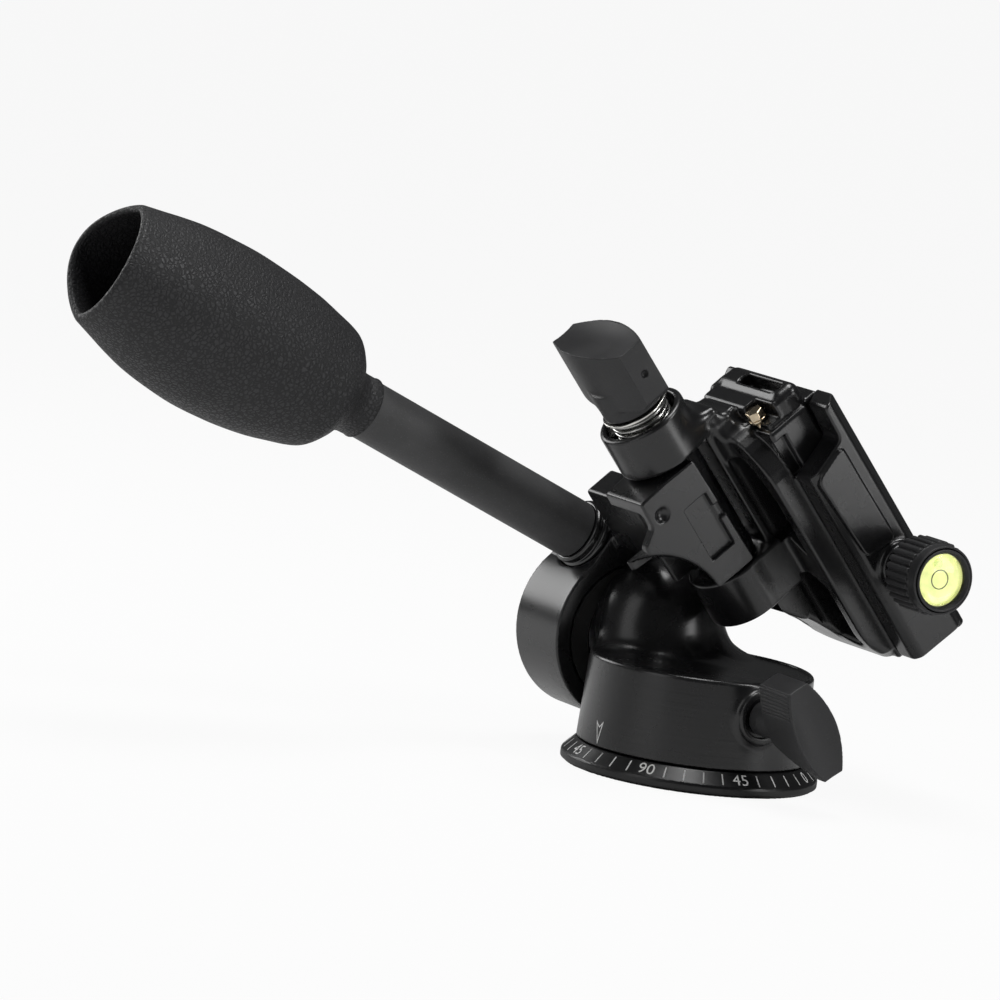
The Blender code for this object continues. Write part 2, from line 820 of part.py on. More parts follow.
def make_hub_screws():
    """Three screws that hold the hub from below."""
    screw_set(
        "hub_screw",
        circle_places(HUB_SCREW_CIRCLE, SCREW_COUNT, HUB_SCREW_TURN),
        PAN_AXIS,
        HUB_SCREW_RADIUS,
        HUB_SCREW_HEAD_RADIUS,
        HUB_SCREW_HEAD_HEIGHT,
        HUB_SCREW_LENGTH,
        "Z",
        CLEARANCE,
        1,
        HUB_SCREW_RADIUS,
    )


def make_pan_washers():
    """Sliding rings under and over the hub's flange."""
    inner = HUB_NECK_RADIUS + CLEARANCE
    low = ring("lower_pan_washer", PAN_AXIS, inner, HUB_FLANGE_RADIUS, LOWER_WASHER_LOW, LOWER_WASHER_TOP)
    finish(low, bearing_plastic("lower_pan_washer"))
    bore = INSERT_BORE_RADIUS + 2 * CLEARANCE
    top = ring("upper_pan_washer", PAN_AXIS, bore, HUB_FLANGE_RADIUS, UPPER_WASHER_LOW, UPPER_WASHER_TOP)
    finish(top, bearing_plastic("upper_pan_washer"))


def make_retainer():
    """Ring and screws that keep the housing on the hub."""
    inner = HUB_NECK_RADIUS + CLEARANCE
    item = ring("pan_retainer_ring", PAN_AXIS, inner, RETAINER_RADIUS, RETAINER_LOW, RETAINER_TOP)
    places = circle_places(RETAINER_SCREW_CIRCLE, SCREW_COUNT, RETAINER_SCREW_TURN)
    sink_top = RETAINER_LOW + RETAINER_SCREW_HEAD_HEIGHT + 2 * CLEARANCE
    for place in places:
        sink = rod(
            "retainer_sink",
            None,
            RETAINER_SCREW_HEAD_RADIUS + CLEARANCE,
            RETAINER_LOW - OVERRUN,
            sink_top,
            "Z",
            place,
            SMALL_STEPS,
        )
        hole = rod(
            "retainer_hole",
            None,
            RETAINER_SCREW_RADIUS + CLEARANCE,
            RETAINER_LOW - OVERRUN,
            RETAINER_TOP + OVERRUN,
            "Z",
            place,
            SMALL_STEPS,
        )
        cut(item, sink, hole)
    finish(item, turned_alloy("pan_retainer_ring"))
    screw_set(
        "retainer_screw",
        places,
        PAN_AXIS,
        RETAINER_SCREW_RADIUS,
        RETAINER_SCREW_HEAD_RADIUS,
        RETAINER_SCREW_HEAD_HEIGHT,
        RETAINER_SCREW_LENGTH,
        "Z",
        RETAINER_LOW + CLEARANCE,
        1,
        RETAINER_SCREW_RADIUS * DRIVE_RADIUS_SHARE,
    )


def flare_profile():
    """Profile of the bell that runs from the housing's top into the dome."""
    wide = DOME_RADIUS + FLARE_RADIUS - CLEARANCE
    rise = HOUSING_TOP + FLARE_RADIUS
    profile = [(0, DOME_Z)]
    for index in range(FLARE_STEPS + 1):
        turn = pi / 2 * index / FLARE_STEPS
        profile.append((wide - FLARE_RADIUS * cos(turn), rise - FLARE_RADIUS * sin(turn)))
    profile.append((wide, HOUSING_TOP - FLARE_RADIUS))
    profile.append((0, HOUSING_TOP - FLARE_RADIUS))
    return profile


def make_pan_housing():
    """Turning body with the domed ear that carries the tilt axle."""
    profile = [(0, HOUSING_TOP)]
    for index in range(5):
        turn = pi / 2 * index / 4
        profile.append(
            (
                HOUSING_TOP_RADIUS - HOUSING_LIP * (1 - sin(turn)),
                HOUSING_TOP - HOUSING_LIP * (1 - cos(turn)),
            )
        )
    profile += [
        (HOUSING_RADIUS, HOUSING_LOW + SOFT_EDGE),
        (HOUSING_RADIUS - SOFT_EDGE, HOUSING_LOW),
        (0, HOUSING_LOW),
    ]
    item = turned("pan_housing", PAN_AXIS, profile, steps=FINE_STEPS, closed=False)
    bell = turned("dome_bell", PAN_AXIS, flare_profile(), (DOME_X, DOME_Y, 0), closed=False)
    bell.scale = (1, DOME_DEPTH / DOME_RADIUS, 1)
    rim = HOUSING_TOP_RADIUS - HOUSING_LIP
    common(
        bell,
        rod(
            "bell_limit",
            PAN_AXIS,
            rim,
            HOUSING_TOP - FLARE_RADIUS / 2,
            DOME_Z + DOME_RADIUS,
            steps=FINE_STEPS,
        ),
    )
    dome = ball("dome", PAN_AXIS, (DOME_RADIUS, DOME_DEPTH, DOME_RADIUS), (DOME_X, DOME_Y, DOME_Z))
    boss = rod(
        "lock_boss",
        PAN_AXIS,
        LOCK_BOSS_RADIUS,
        -LOCK_BOSS_FACE,
        -HUB_FLANGE_RADIUS - OVERRUN,
        "Y",
        (LOCK_X, LOCK_Z),
    )
    join(item, bell, dome, boss)
    reach = HOUSING_RADIUS * 2
    flat = box("housing_flat", None, (-reach, HOUSING_FLAT, -OVERRUN), (reach, reach, reach))
    cavity_radius = HUB_FLANGE_RADIUS + CLEARANCE
    cavity = rod("housing_cavity", None, cavity_radius, -OVERRUN, CAVITY_TOP)
    seat = rod("retainer_seat", None, RETAINER_RADIUS + CLEARANCE, -OVERRUN, CAVITY_STEP)
    axle = rod(
        "axle_bore",
        None,
        AXLE_RADIUS + CLEARANCE,
        AXLE_START - CLEARANCE,
        DRUM_FAR,
        "Y",
        (TILT_X, TILT_Z),
        SMALL_STEPS,
    )
    place = (LOCK_X, LOCK_Z)
    shoe_end = -HUB_FLANGE_RADIUS - SHOE_LENGTH - 4 * CLEARANCE
    shoe_bore = rod("shoe_bore", None, SHOE_RADIUS + CLEARANCE, shoe_end, 0, "Y", place, SMALL_STEPS)
    screw_bore = rod(
        "lock_screw_bore",
        None,
        LOCK_SCREW_RADIUS + CLEARANCE,
        -LOCK_BOSS_FACE - OVERRUN,
        0,
        "Y",
        place,
        SMALL_STEPS,
    )
    mouth = rod(
        "lock_mouth",
        None,
        LOCK_MOUTH_RADIUS,
        -LOCK_BOSS_FACE - OVERRUN,
        -LOCK_BOSS_FACE + LOCK_MOUTH_DEPTH,
        "Y",
        place,
    )
    cut(item, flat, cavity, seat, axle, shoe_bore, screw_bore, mouth)
    top = RETAINER_LOW + RETAINER_SCREW_HEAD_HEIGHT + RETAINER_SCREW_LENGTH + 2 * CLEARANCE
    for place in circle_places(RETAINER_SCREW_CIRCLE, SCREW_COUNT, RETAINER_SCREW_TURN):
        hole = rod(
            "housing_screw_hole",
            None,
            RETAINER_SCREW_RADIUS + CLEARANCE,
            RETAINER_LOW,
            top,
            "Z",
            place,
            SMALL_STEPS,
        )
        cut(item, hole)
    return finish(item, black_casting("pan_housing"))


def lens_outline(length, width, tip):
    """Pointed oval with its tips cut flat."""
    half = length / 2
    side = width / 2
    sag = side - tip / 2
    bow = (half * half + sag * sag) / (2 * sag)
    right = []
    for index in range(9):
        at = -half + length * index / 8
        right.append((at, sqrt(bow * bow - at * at) - bow + side))
    left = [(-x, -y) for x, y in right]
    return right + left


def make_wing_knob(name, axis, length, width, tip, depth, reach, back_shares, stem_radius, bore_radius, bore_depth):
    """Wing knob with a dished oval end and a round stem behind it."""
    start = reach - depth
    outline = lens_outline(length, width, tip)
    wing = plate(name, axis, outline, start, reach)
    soften(wing, SOFT_EDGE, 2, 25.0)
    corner = length / 2
    edge = corner + OVERRUN
    back = [(edge * wide, start + depth * high) for wide, high in back_shares]
    side = [*back, (edge, reach + OVERRUN), (-edge, reach + OVERRUN)]
    common(wing, plate(name + "_side", axis, side, -width, width, "XZ"))
    stem = turned(
        name + "_stem",
        axis,
        [
            (0, start + depth * WING_STEM_SHARE),
            (stem_radius, start + depth * WING_STEM_SHARE),
            (stem_radius, SOFT_EDGE),
            (stem_radius - SOFT_EDGE, 0),
            (0, 0),
        ],
        closed=False,
    )
    join(wing, stem)
    size_share, flat_share, sink_share = WING_DISH_SHARES
    dish_radius = length * size_share
    radii = (dish_radius, dish_radius * flat_share, dish_radius)
    dish = ball(name + "_dish", axis, radii, (0, 0, reach + dish_radius - width * sink_share))
    bore = rod(name + "_bore", axis, bore_radius, -OVERRUN, bore_depth, steps=SMALL_STEPS)
    cut(wing, dish, bore)
    return finish(wing, black_plastic(name), 30.0)


def make_pan_lock():
    """Shoe, screw and wing knob that lock the pan joint."""
    place = (LOCK_X, LOCK_Z)
    shoe_in = -HUB_FLANGE_RADIUS - CLEARANCE
    shoe_out = shoe_in - SHOE_LENGTH
    shoe = rod("pan_brake_shoe", PAN_AXIS, SHOE_RADIUS, shoe_out, shoe_in, "Y", place, SMALL_STEPS)
    cut(shoe, rod("shoe_face", None, HUB_FLANGE_RADIUS + CLEARANCE, 0, HOUSING_TOP))
    finish(shoe, add_material("pan_brake_shoe_brass", (0.70, 0.50, 0.25), 0.35, 1.0))
    screw_in = shoe_out - CLEARANCE
    screw = rod(
        "pan_lock_screw",
        PAN_AXIS,
        LOCK_SCREW_RADIUS,
        screw_in - LOCK_SCREW_LENGTH,
        screw_in,
        "Y",
        place,
        SMALL_STEPS,
    )
    soften(screw)
    finish(screw, bright_steel("pan_lock_screw"))
    bore_depth = LOCK_SCREW_LENGTH + SHOE_LENGTH + HUB_FLANGE_RADIUS + 3 * CLEARANCE - LOCK_BOSS_FACE
    knob = make_wing_knob(
        "pan_lock_knob",
        PAN_LOCK_AXIS,
        PAN_WING_LENGTH,
        PAN_WING_WIDTH,
        PAN_WING_TIP,
        PAN_WING_DEPTH,
        PAN_WING_REACH,
        PAN_WING_BACK_SHARES,
        PAN_WING_STEM_RADIUS,
        LOCK_SCREW_RADIUS + CLEARANCE,
        bore_depth,
    )
    return knob


def make_tilt_stack():
    """Axle, hub, washers and nut of the tilt joint."""
    place = (TILT_X, TILT_Z)
    axle_end = TILT_NUT_FAR + CLEARANCE / 2
    axle = rod("tilt_axle", PAN_AXIS, AXLE_RADIUS, AXLE_START, TILT_HUB_FAR, "Y", place, SMALL_STEPS)
    soften(axle)
    thread = rod(
        "axle_thread",
        PAN_AXIS,
        AXLE_THREAD_RADIUS,
        TILT_HUB_NEAR,
        axle_end,
        "Y",
        place,
        SMALL_STEPS,
    )
    join(axle, thread)
    finish(axle, bright_steel("tilt_axle"))
    hub = ring(
        "tilt_hub",
        PAN_AXIS,
        AXLE_RADIUS + CLEARANCE,
        TILT_HUB_RADIUS,
        TILT_HUB_NEAR,
        TILT_HUB_FAR,
        "Y",
        place,
    )
    finish(hub, turned_alloy("tilt_hub"))
    near = ring(
        "tilt_washer_near",
        TILT_AXIS,
        TILT_HUB_RADIUS + 2 * CLEARANCE,
        NEAR_WASHER_RADIUS,
        HOUSING_FLAT + CLEARANCE,
        HOUSING_FLAT + CLEARANCE + NEAR_WASHER_THICKNESS,
        "Y",
    )
    finish(near, bearing_plastic("tilt_washer_near"))
    bore = AXLE_THREAD_RADIUS + CLEARANCE
    far = ring("tilt_washer_far", TILT_AXIS, bore, FAR_WASHER_RADIUS, FAR_WASHER_NEAR, FAR_WASHER_FAR, "Y")
    finish(far, bright_steel("tilt_washer_far"))
    spring = ring(
        "tilt_spring_washer",
        TILT_AXIS,
        bore,
        SPRING_WASHER_RADIUS,
        SPRING_WASHER_NEAR,
        SPRING_WASHER_FAR,
        "Y",
    )
    finish(spring, bright_steel("tilt_spring_washer"))
    nut = plate("tilt_nut", PAN_AXIS, hexagon(TILT_NUT_RADIUS), TILT_NUT_NEAR, TILT_NUT_FAR, "XZ")
    nut.location = (TILT_X, (TILT_NUT_NEAR + TILT_NUT_FAR) / 2, TILT_Z)
    soften(nut)
    cut(nut, rod("nut_bore", PAN_AXIS, bore, DRUM_NEAR, DRUM_FAR + OVERRUN, "Y", place, SMALL_STEPS))
    finish(nut, bright_steel("tilt_nut"), 25.0)


def socket_outline():
    """Outline of the block that leads from the drum to the handle."""
    return [(x * DRUM_RADIUS, z * DRUM_RADIUS) for x, z in SOCKET_SHARES]


def block_outline():
    """Side outline of the block that carries the roll joint."""
    length = BLOCK_FRONT - BLOCK_REAR
    return [(BLOCK_REAR + x * length, ROLL_HEIGHT + z * BLOCK_DEPTH) for x, z in BLOCK_OUTLINE_SHARES]


def make_tilt_bracket():
    """Drum, arm, roll block and handle socket in one casting."""
    item = rod("tilt_bracket", TILT_AXIS, DRUM_RADIUS, DRUM_NEAR, DRUM_FAR, "Y", steps=FINE_STEPS)
    soften(item, DRUM_EDGE / 2)
    block = plate("handle_block", TILT_AXIS, socket_outline(), DRUM_NEAR, DRUM_FAR, "XZ")
    soften(block, DRUM_EDGE / 2)
    near_y = ROLL_Y + BLOCK_NEAR
    far_y = ROLL_Y + BLOCK_FAR
    body = plate("roll_block", TILT_AXIS, block_outline(), near_y, far_y, "XZ")
    soften(body, SOFT_EDGE * 2)
    barrel = rod(
        "roll_barrel",
        TILT_AXIS,
        BARREL_RADIUS,
        BLOCK_REAR,
        BLOCK_FRONT,
        "X",
        (ROLL_Y, ROLL_HEIGHT),
    )
    arm = box(
        "arm",
        TILT_AXIS,
        (ARM_REAR, ROLL_Y, ROLL_HEIGHT + ARM_LOW),
        (ARM_FRONT, ROLL_Y + ARM_END, ROLL_HEIGHT + ARM_TOP),
    )
    soften(arm, SOFT_EDGE * 2)
    join(item, block, body, barrel, arm)
    hub_bore_end = TILT_HUB_FAR + CLEARANCE
    hub_bore = rod(
        "hub_bore",
        TILT_AXIS,
        TILT_HUB_RADIUS + CLEARANCE,
        HOUSING_FLAT - OVERRUN,
        hub_bore_end,
        "Y",
    )
    washer_seat = rod(
        "washer_seat",
        TILT_AXIS,
        NEAR_WASHER_RADIUS + CLEARANCE,
        HOUSING_FLAT - OVERRUN,
        HOUSING_FLAT + NEAR_WASHER_THICKNESS + 2 * CLEARANCE,
        "Y",
    )
    stack = rod(
        "stack_bore",
        TILT_AXIS,
        FAR_WASHER_RADIUS + CLEARANCE,
        TILT_HUB_FAR,
        DRUM_FAR + OVERRUN,
        "Y",
    )
    cover = rod(
        "cover_seat",
        TILT_AXIS,
        COVER_RADIUS + CLEARANCE,
        DRUM_FAR - COVER_SEAT_DEPTH,
        DRUM_FAR + OVERRUN,
        "Y",
        steps=FINE_STEPS,
    )
    cut(item, hub_bore, washer_seat, stack, cover)
    wedge_end = WEDGE_START + WEDGE_LENGTH + CLEARANCE
    wedge_bore = rod(
        "wedge_bore",
        HANDLE_AXIS,
        WEDGE_RADIUS + CLEARANCE,
        WEDGE_START - 2 * CLEARANCE,
        wedge_end,
    )
    rod_bore = rod(
        "rod_bore",
        HANDLE_AXIS,
        ROD_RADIUS + CLEARANCE,
        wedge_end - OVERRUN,
        SOCKET_FACE + COLLAR_LENGTH,
    )
    seat = rod(
        "collar_seat",
        HANDLE_AXIS,
        COLLAR_RADIUS + CLEARANCE,
        SOCKET_FACE,
        SOCKET_FACE + DRUM_RADIUS,
    )
    cut(item, wedge_bore, rod_bore, seat)
    cover_screw_end = COVER_FAR - COVER_SCREW_HEAD_HEIGHT - COVER_SCREW_LENGTH - CLEARANCE
    for place in circle_places(COVER_SCREW_CIRCLE, SCREW_COUNT, COVER_SCREW_TURN):
        hole = rod(
            "cover_screw_hole",
            TILT_AXIS,
            COVER_SCREW_RADIUS + CLEARANCE,
            cover_screw_end,
            DRUM_FAR,
            "Y",
            place,
            SMALL_STEPS,
        )
        cut(item, hole)
    bore = rod(
        "axle_passage",
        TILT_AXIS,
        ROLL_AXLE_RADIUS + 2 * CLEARANCE,
        BLOCK_REAR - OVERRUN,
        BLOCK_FRONT + OVERRUN,
        "X",
        (ROLL_Y, ROLL_HEIGHT),
        SMALL_STEPS,
    )
    cut(item, bore)
    for at in (BLOCK_REAR - OVERRUN, BLOCK_FRONT - BUSH_LENGTH - 2 * CLEARANCE):
        seat = rod(
            "bush_seat",
            TILT_AXIS,
            BUSH_RADIUS + CLEARANCE,
            at,
            at + BUSH_LENGTH + 2 * CLEARANCE + OVERRUN,
            "X",
            (ROLL_Y, ROLL_HEIGHT),
            SMALL_STEPS,
        )
        cut(item, seat)
    length = BLOCK_FRONT - BLOCK_REAR
    (rear_share, low_share), (front_share, top_share) = RELIEF_SHARES
    relief = box(
        "block_relief",
        TILT_AXIS,
        (BLOCK_REAR + rear_share * length, near_y - OVERRUN, ROLL_HEIGHT + low_share * BLOCK_DEPTH),
        (BLOCK_REAR + front_share * length, near_y + SOFT_EDGE * 3, ROLL_HEIGHT + top_share * BLOCK_DEPTH),
    )
    along_share, rise_share = DIMPLE_SHARES
    dimple = ball(
        "block_dimple",
        TILT_AXIS,
        (SOFT_EDGE * 3, SOFT_EDGE * 2, SOFT_EDGE * 3),
        (BLOCK_REAR + along_share * length, near_y, ROLL_HEIGHT + rise_share * BLOCK_DEPTH),
        SMALL_STEPS,
    )
    cut(item, relief, dimple)
    return finish(item, black_casting("tilt_bracket"))


def make_drum_cover():
    """Cap and screws on the drum's far side."""
    item = rod("drum_cover", TILT_AXIS, COVER_RADIUS, COVER_NEAR, COVER_FAR, "Y", steps=FINE_STEPS)
    soften(item, SOFT_EDGE * 2)
    pocket = rod(
        "nut_room",
        TILT_AXIS,
        SPRING_WASHER_RADIUS,
        COVER_NEAR - OVERRUN,
        TILT_NUT_FAR + 2 * CLEARANCE,
        "Y",
        steps=SMALL_STEPS,
    )
    cut(item, pocket)
    places = circle_places(COVER_SCREW_CIRCLE, SCREW_COUNT, COVER_SCREW_TURN)
    for place in places:
        sink = rod(
            "cover_sink",
            TILT_AXIS,
            COVER_SCREW_HEAD_RADIUS + CLEARANCE,
            COVER_FAR - COVER_SCREW_HEAD_HEIGHT - CLEARANCE,
            COVER_FAR + OVERRUN,
            "Y",
            place,
            SMALL_STEPS,
        )
        hole = rod(
            "cover_hole",
            TILT_AXIS,
            COVER_SCREW_RADIUS + CLEARANCE,
            COVER_NEAR - OVERRUN,
            COVER_FAR + OVERRUN,
            "Y",
            place,
            SMALL_STEPS,
        )
        cut(item, sink, hole)
    finish(item, black_casting("drum_cover"))
    screw_set(
        "cover_screw",
        places,
        TILT_AXIS,
        COVER_SCREW_RADIUS,
        COVER_SCREW_HEAD_RADIUS,
        COVER_SCREW_HEAD_HEIGHT,
        COVER_SCREW_LENGTH - CLEARANCE,
        "Y",
        COVER_FAR,
        -1,
        COVER_SCREW_RADIUS * DRIVE_RADIUS_SHARE,
    )


def make_handle_lock():
    """Wedge and rod that lock the tilt joint when the handle turns."""
    wedge_end = WEDGE_START + WEDGE_LENGTH
    wedge = rod("tilt_brake_wedge", HANDLE_AXIS, WEDGE_RADIUS, WEDGE_START, wedge_end, steps=SMALL_STEPS)
    relief = rod("wedge_relief", TILT_AXIS, TILT_HUB_RADIUS + CLEARANCE, 0, DRUM_FAR + OVERRUN, "Y")
    cut(wedge, relief)
    finish(wedge, add_material("tilt_brake_wedge_brass", (0.70, 0.50, 0.25), 0.35, 1.0))
    head_start = COLLAR_END + 2 * CLEARANCE
    rod_start = wedge_end + 2 * CLEARANCE
    head_radius = TUBE_RADIUS - TUBE_WALL - CLEARANCE
    item = rod(
        "handle_lock_rod",
        HANDLE_AXIS,
        ROD_RADIUS,
        rod_start,
        head_start + OVERRUN,
        steps=SMALL_STEPS,
    )
    head = rod("rod_head", HANDLE_AXIS, head_radius, head_start, head_start + ROD_HEAD_LENGTH)
    join(item, head)
    finish(item, bright_steel("handle_lock_rod"))


def make_handle():
    """Collar and tube of the handle."""
    low = COLLAR_RADIUS - SOFT_EDGE * 2
    bore = ROD_RADIUS + CLEARANCE
    radii = (TUBE_RADIUS, COLLAR_RADIUS, COLLAR_RADIUS, low, low, COLLAR_RADIUS)
    profile = [(bore, COLLAR_END)]
    for radius, share in zip(radii, COLLAR_SHARES):
        profile.append((radius, COLLAR_END - COLLAR_LENGTH * share))
    profile += [(COLLAR_RADIUS, COLLAR_START), (bore, COLLAR_START)]
    collar = turned("handle_collar", HANDLE_AXIS, profile)
    finish(collar, add_material("handle_collar_gloss", (0.010, 0.010, 0.011), 0.16))
    inner = TUBE_RADIUS - TUBE_WALL
    tube = ring("handle_tube", HANDLE_AXIS, inner, TUBE_RADIUS, TUBE_START, TUBE_END, steps=ROUND_STEPS)
    finish(tube, add_material("handle_tube_powder_coat", (0.020, 0.020, 0.021), 0.62))


def share_at(table, at):
    """Read a table of shares between its rows."""
    for (left, low), (right, high) in zip(table, table[1:]):
        if at <= right:
            return low + (high - low) * (at - left) / (right - left)
    return table[-1][1]


def grip_ring(share, height_share, shrink, count):
    """One cross-section of the grip, a rounded lens."""
    half = GRIP_HEIGHT * height_share / 2 - shrink
    side = half * share_at(GRIP_WIDTH_SHARES, share)
    power = share_at(GRIP_POINT_SHARES, share)
    twist = radians(-GRIP_TWIST)
    points = []
    for index in range(count):
        turn = 2 * pi * index / count
        across = half * cos(turn)
        out = side * abs(sin(turn)) ** (2 * power)
        out = out if sin(turn) >= 0 else -out
        points.append(
            (
                across * cos(twist) - out * sin(twist),
                across * sin(twist) + out * cos(twist),
                GRIP_START + share * GRIP_LENGTH,
            )
        )
    return points


def make_grip():
    """Hollow grip lofted through rounded lens sections."""
    count = 32
    rings = [grip_ring(share, height, 0, count) for share, height in LENS_SHARES]
    item = loft("handle_grip", HANDLE_AXIS, rings)
    first = 1 - GRIP_CAVITY_DEPTH / GRIP_LENGTH
    inner = []
    for share, height in LENS_SHARES:
        if first < share < CAVITY_END_SHARE:
            inner.append(grip_ring(share, height, GRIP_WALL, count))
    rim = LENS_SHARES[-2]
    inner.append(grip_ring(1.0, rim[1], GRIP_WALL, count))
    inner.append(grip_ring(1.0 + OVERRUN / GRIP_LENGTH, rim[1], GRIP_WALL, count))
    cavity = loft("grip_cavity", HANDLE_AXIS, inner)
    bore = rod(
        "grip_bore",
        HANDLE_AXIS,
        TUBE_RADIUS + CLEARANCE,
        GRIP_START - OVERRUN,
        TUBE_END + CLEARANCE,
    )
    cut(item, cavity, bore)
    return finish(item, add_material("handle_grip_rubber", (0.016, 0.016, 0.017), 0.60), 50.0)


def tray_outline(inset):
    """Outline of the tray under the clamp, rounded towards the rear lug."""
    side = BED_SIDE - inset
    front = BED_FRONT - inset
    rear_y = TRAY_REAR_Y
    right = []
    for index in range(7):
        turn = pi / 2 * index / 6
        reach_x = (TRAY_CORNER_X - TRAY_REAR_X) * sin(turn)
        reach_y = (side - rear_y) * (1 - cos(turn))
        right.append((TRAY_CORNER_X + inset - reach_x, -side + reach_y))
    left = [(x, -y) for x, y in reversed(right)]
    corner = POCKET_RIM
    return [(front, side - corner), (front, -side + corner), (front - corner, -side)] + right + left + [
        (front - corner, side),
    ]


def make_clamp_bed():
    """Clamp casting with its lugs, skirt, ribs and fixed jaw."""
    low = (BED_REAR, -BED_SIDE, BED_LEDGE)
    item = box("clamp_bed", ROLL_AXIS, low, (BED_FRONT, FIXED_JAW_SIDE - FIXED_JAW_THICKNESS, BED_SEAT))
    soften(item, SOFT_EDGE * 2)
    tray = plate("bed_tray", ROLL_AXIS, tray_outline(0), BED_LOW, BED_SEAT - POCKET_RIM)
    soften(tray, SOFT_EDGE * 2)
    inner = FIXED_JAW_SIDE - FIXED_JAW_THICKNESS - OVERRUN
    jaw_rows = [
        (inner, BED_LEDGE),
        (FIXED_JAW_SIDE - OVERRUN, BED_LEDGE),
        (FIXED_JAW_SIDE, BED_LEDGE + OVERRUN),
        (FIXED_JAW_SIDE, JAW_TOP - OVERRUN),
        (FIXED_JAW_SIDE - OVERRUN, JAW_TOP),
        (inner + OVERRUN - DOVETAIL, JAW_TOP),
        (inner + OVERRUN - DOVETAIL, JAW_TOP - DOVETAIL / 2),
        (inner + OVERRUN, BED_SEAT + DOVETAIL / 2),
        (inner + OVERRUN, BED_SEAT - OVERRUN),
        (inner, BED_SEAT - OVERRUN),
    ]
    jaw = plate("fixed_jaw", ROLL_AXIS, jaw_rows, BED_REAR + OVERRUN, BED_FRONT, "YZ")
    rear_lug = rod("rear_lug", ROLL_AXIS, REAR_LUG_RADIUS, REAR_LUG_START, REAR_LUG_END, "X")
    soften(rear_lug, SOFT_EDGE * 2)
    front_lug = rod("front_lug", ROLL_AXIS, FRONT_LUG_RADIUS, FRONT_LUG_START, FRONT_LUG_END, "X")
    soften(front_lug, SOFT_EDGE * 2)
    neck = box(
        "rear_neck",
        ROLL_AXIS,
        (REAR_LUG_START + SOFT_EDGE * 3, -REAR_LUG_RADIUS * LUG_NECK_SHARE, 0),
        (REAR_LUG_END, REAR_LUG_RADIUS * LUG_NECK_SHARE, BED_LEDGE + OVERRUN),
    )
    soften(neck, SOFT_EDGE * 4, 3)
    web = box(
        "front_web",
        ROLL_AXIS,
        (FRONT_LUG_START, -FRONT_LUG_RADIUS, 0),
        (FRONT_LUG_END, FRONT_LUG_RADIUS, BED_LEDGE),
    )
    soften(web, SOFT_EDGE * 2)
    keel_length = BED_FRONT - FRONT_LUG_END
    keel_rows = [(FRONT_LUG_END + x * keel_length, z * BED_LEDGE) for x, z in KEEL_SHARES]
    keel = plate("keel", ROLL_AXIS, keel_rows, -SPINE_HALF_WIDTH, SPINE_HALF_WIDTH, "XZ")
    soften(keel, SOFT_EDGE * 2, 2, 50.0)
    spine = box(
        "spine",
        ROLL_AXIS,
        (REAR_LUG_END - OVERRUN, -SPINE_HALF_WIDTH, SPINE_LOW),
        (FRONT_LUG_START + OVERRUN, SPINE_HALF_WIDTH, BED_LEDGE + OVERRUN),
    )
    loop = box(
        "loop",
        ROLL_AXIS,
        (LOOP_REAR, LOOP_RIGHT, BED_SEAT - 2 * SOFT_EDGE * 5),
        (LOOP_FRONT, LOOP_LEFT, LOOP_TOP),
    )
    soften(loop, SOFT_EDGE * 4, 3)
    lobe = rod(
        "stop_lobe",
        ROLL_AXIS,
        STOP_LOBE_RADIUS,
        BED_REAR - STOP_LOBE_RADIUS / 2,
        BED_REAR + STOP_LOBE_RADIUS * 2,
        "X",
        (STOP_LOBE_RADIUS, BED_SEAT - 2 * STOP_LOBE_RADIUS),
        SMALL_STEPS,
    )
    soften(lobe, SOFT_EDGE * 2)
    join(item, tray, jaw, rear_lug, front_lug, neck, web, keel, spine, loop, lobe)
    cut_bed(item)
    return finish(item, black_casting("clamp_bed"))


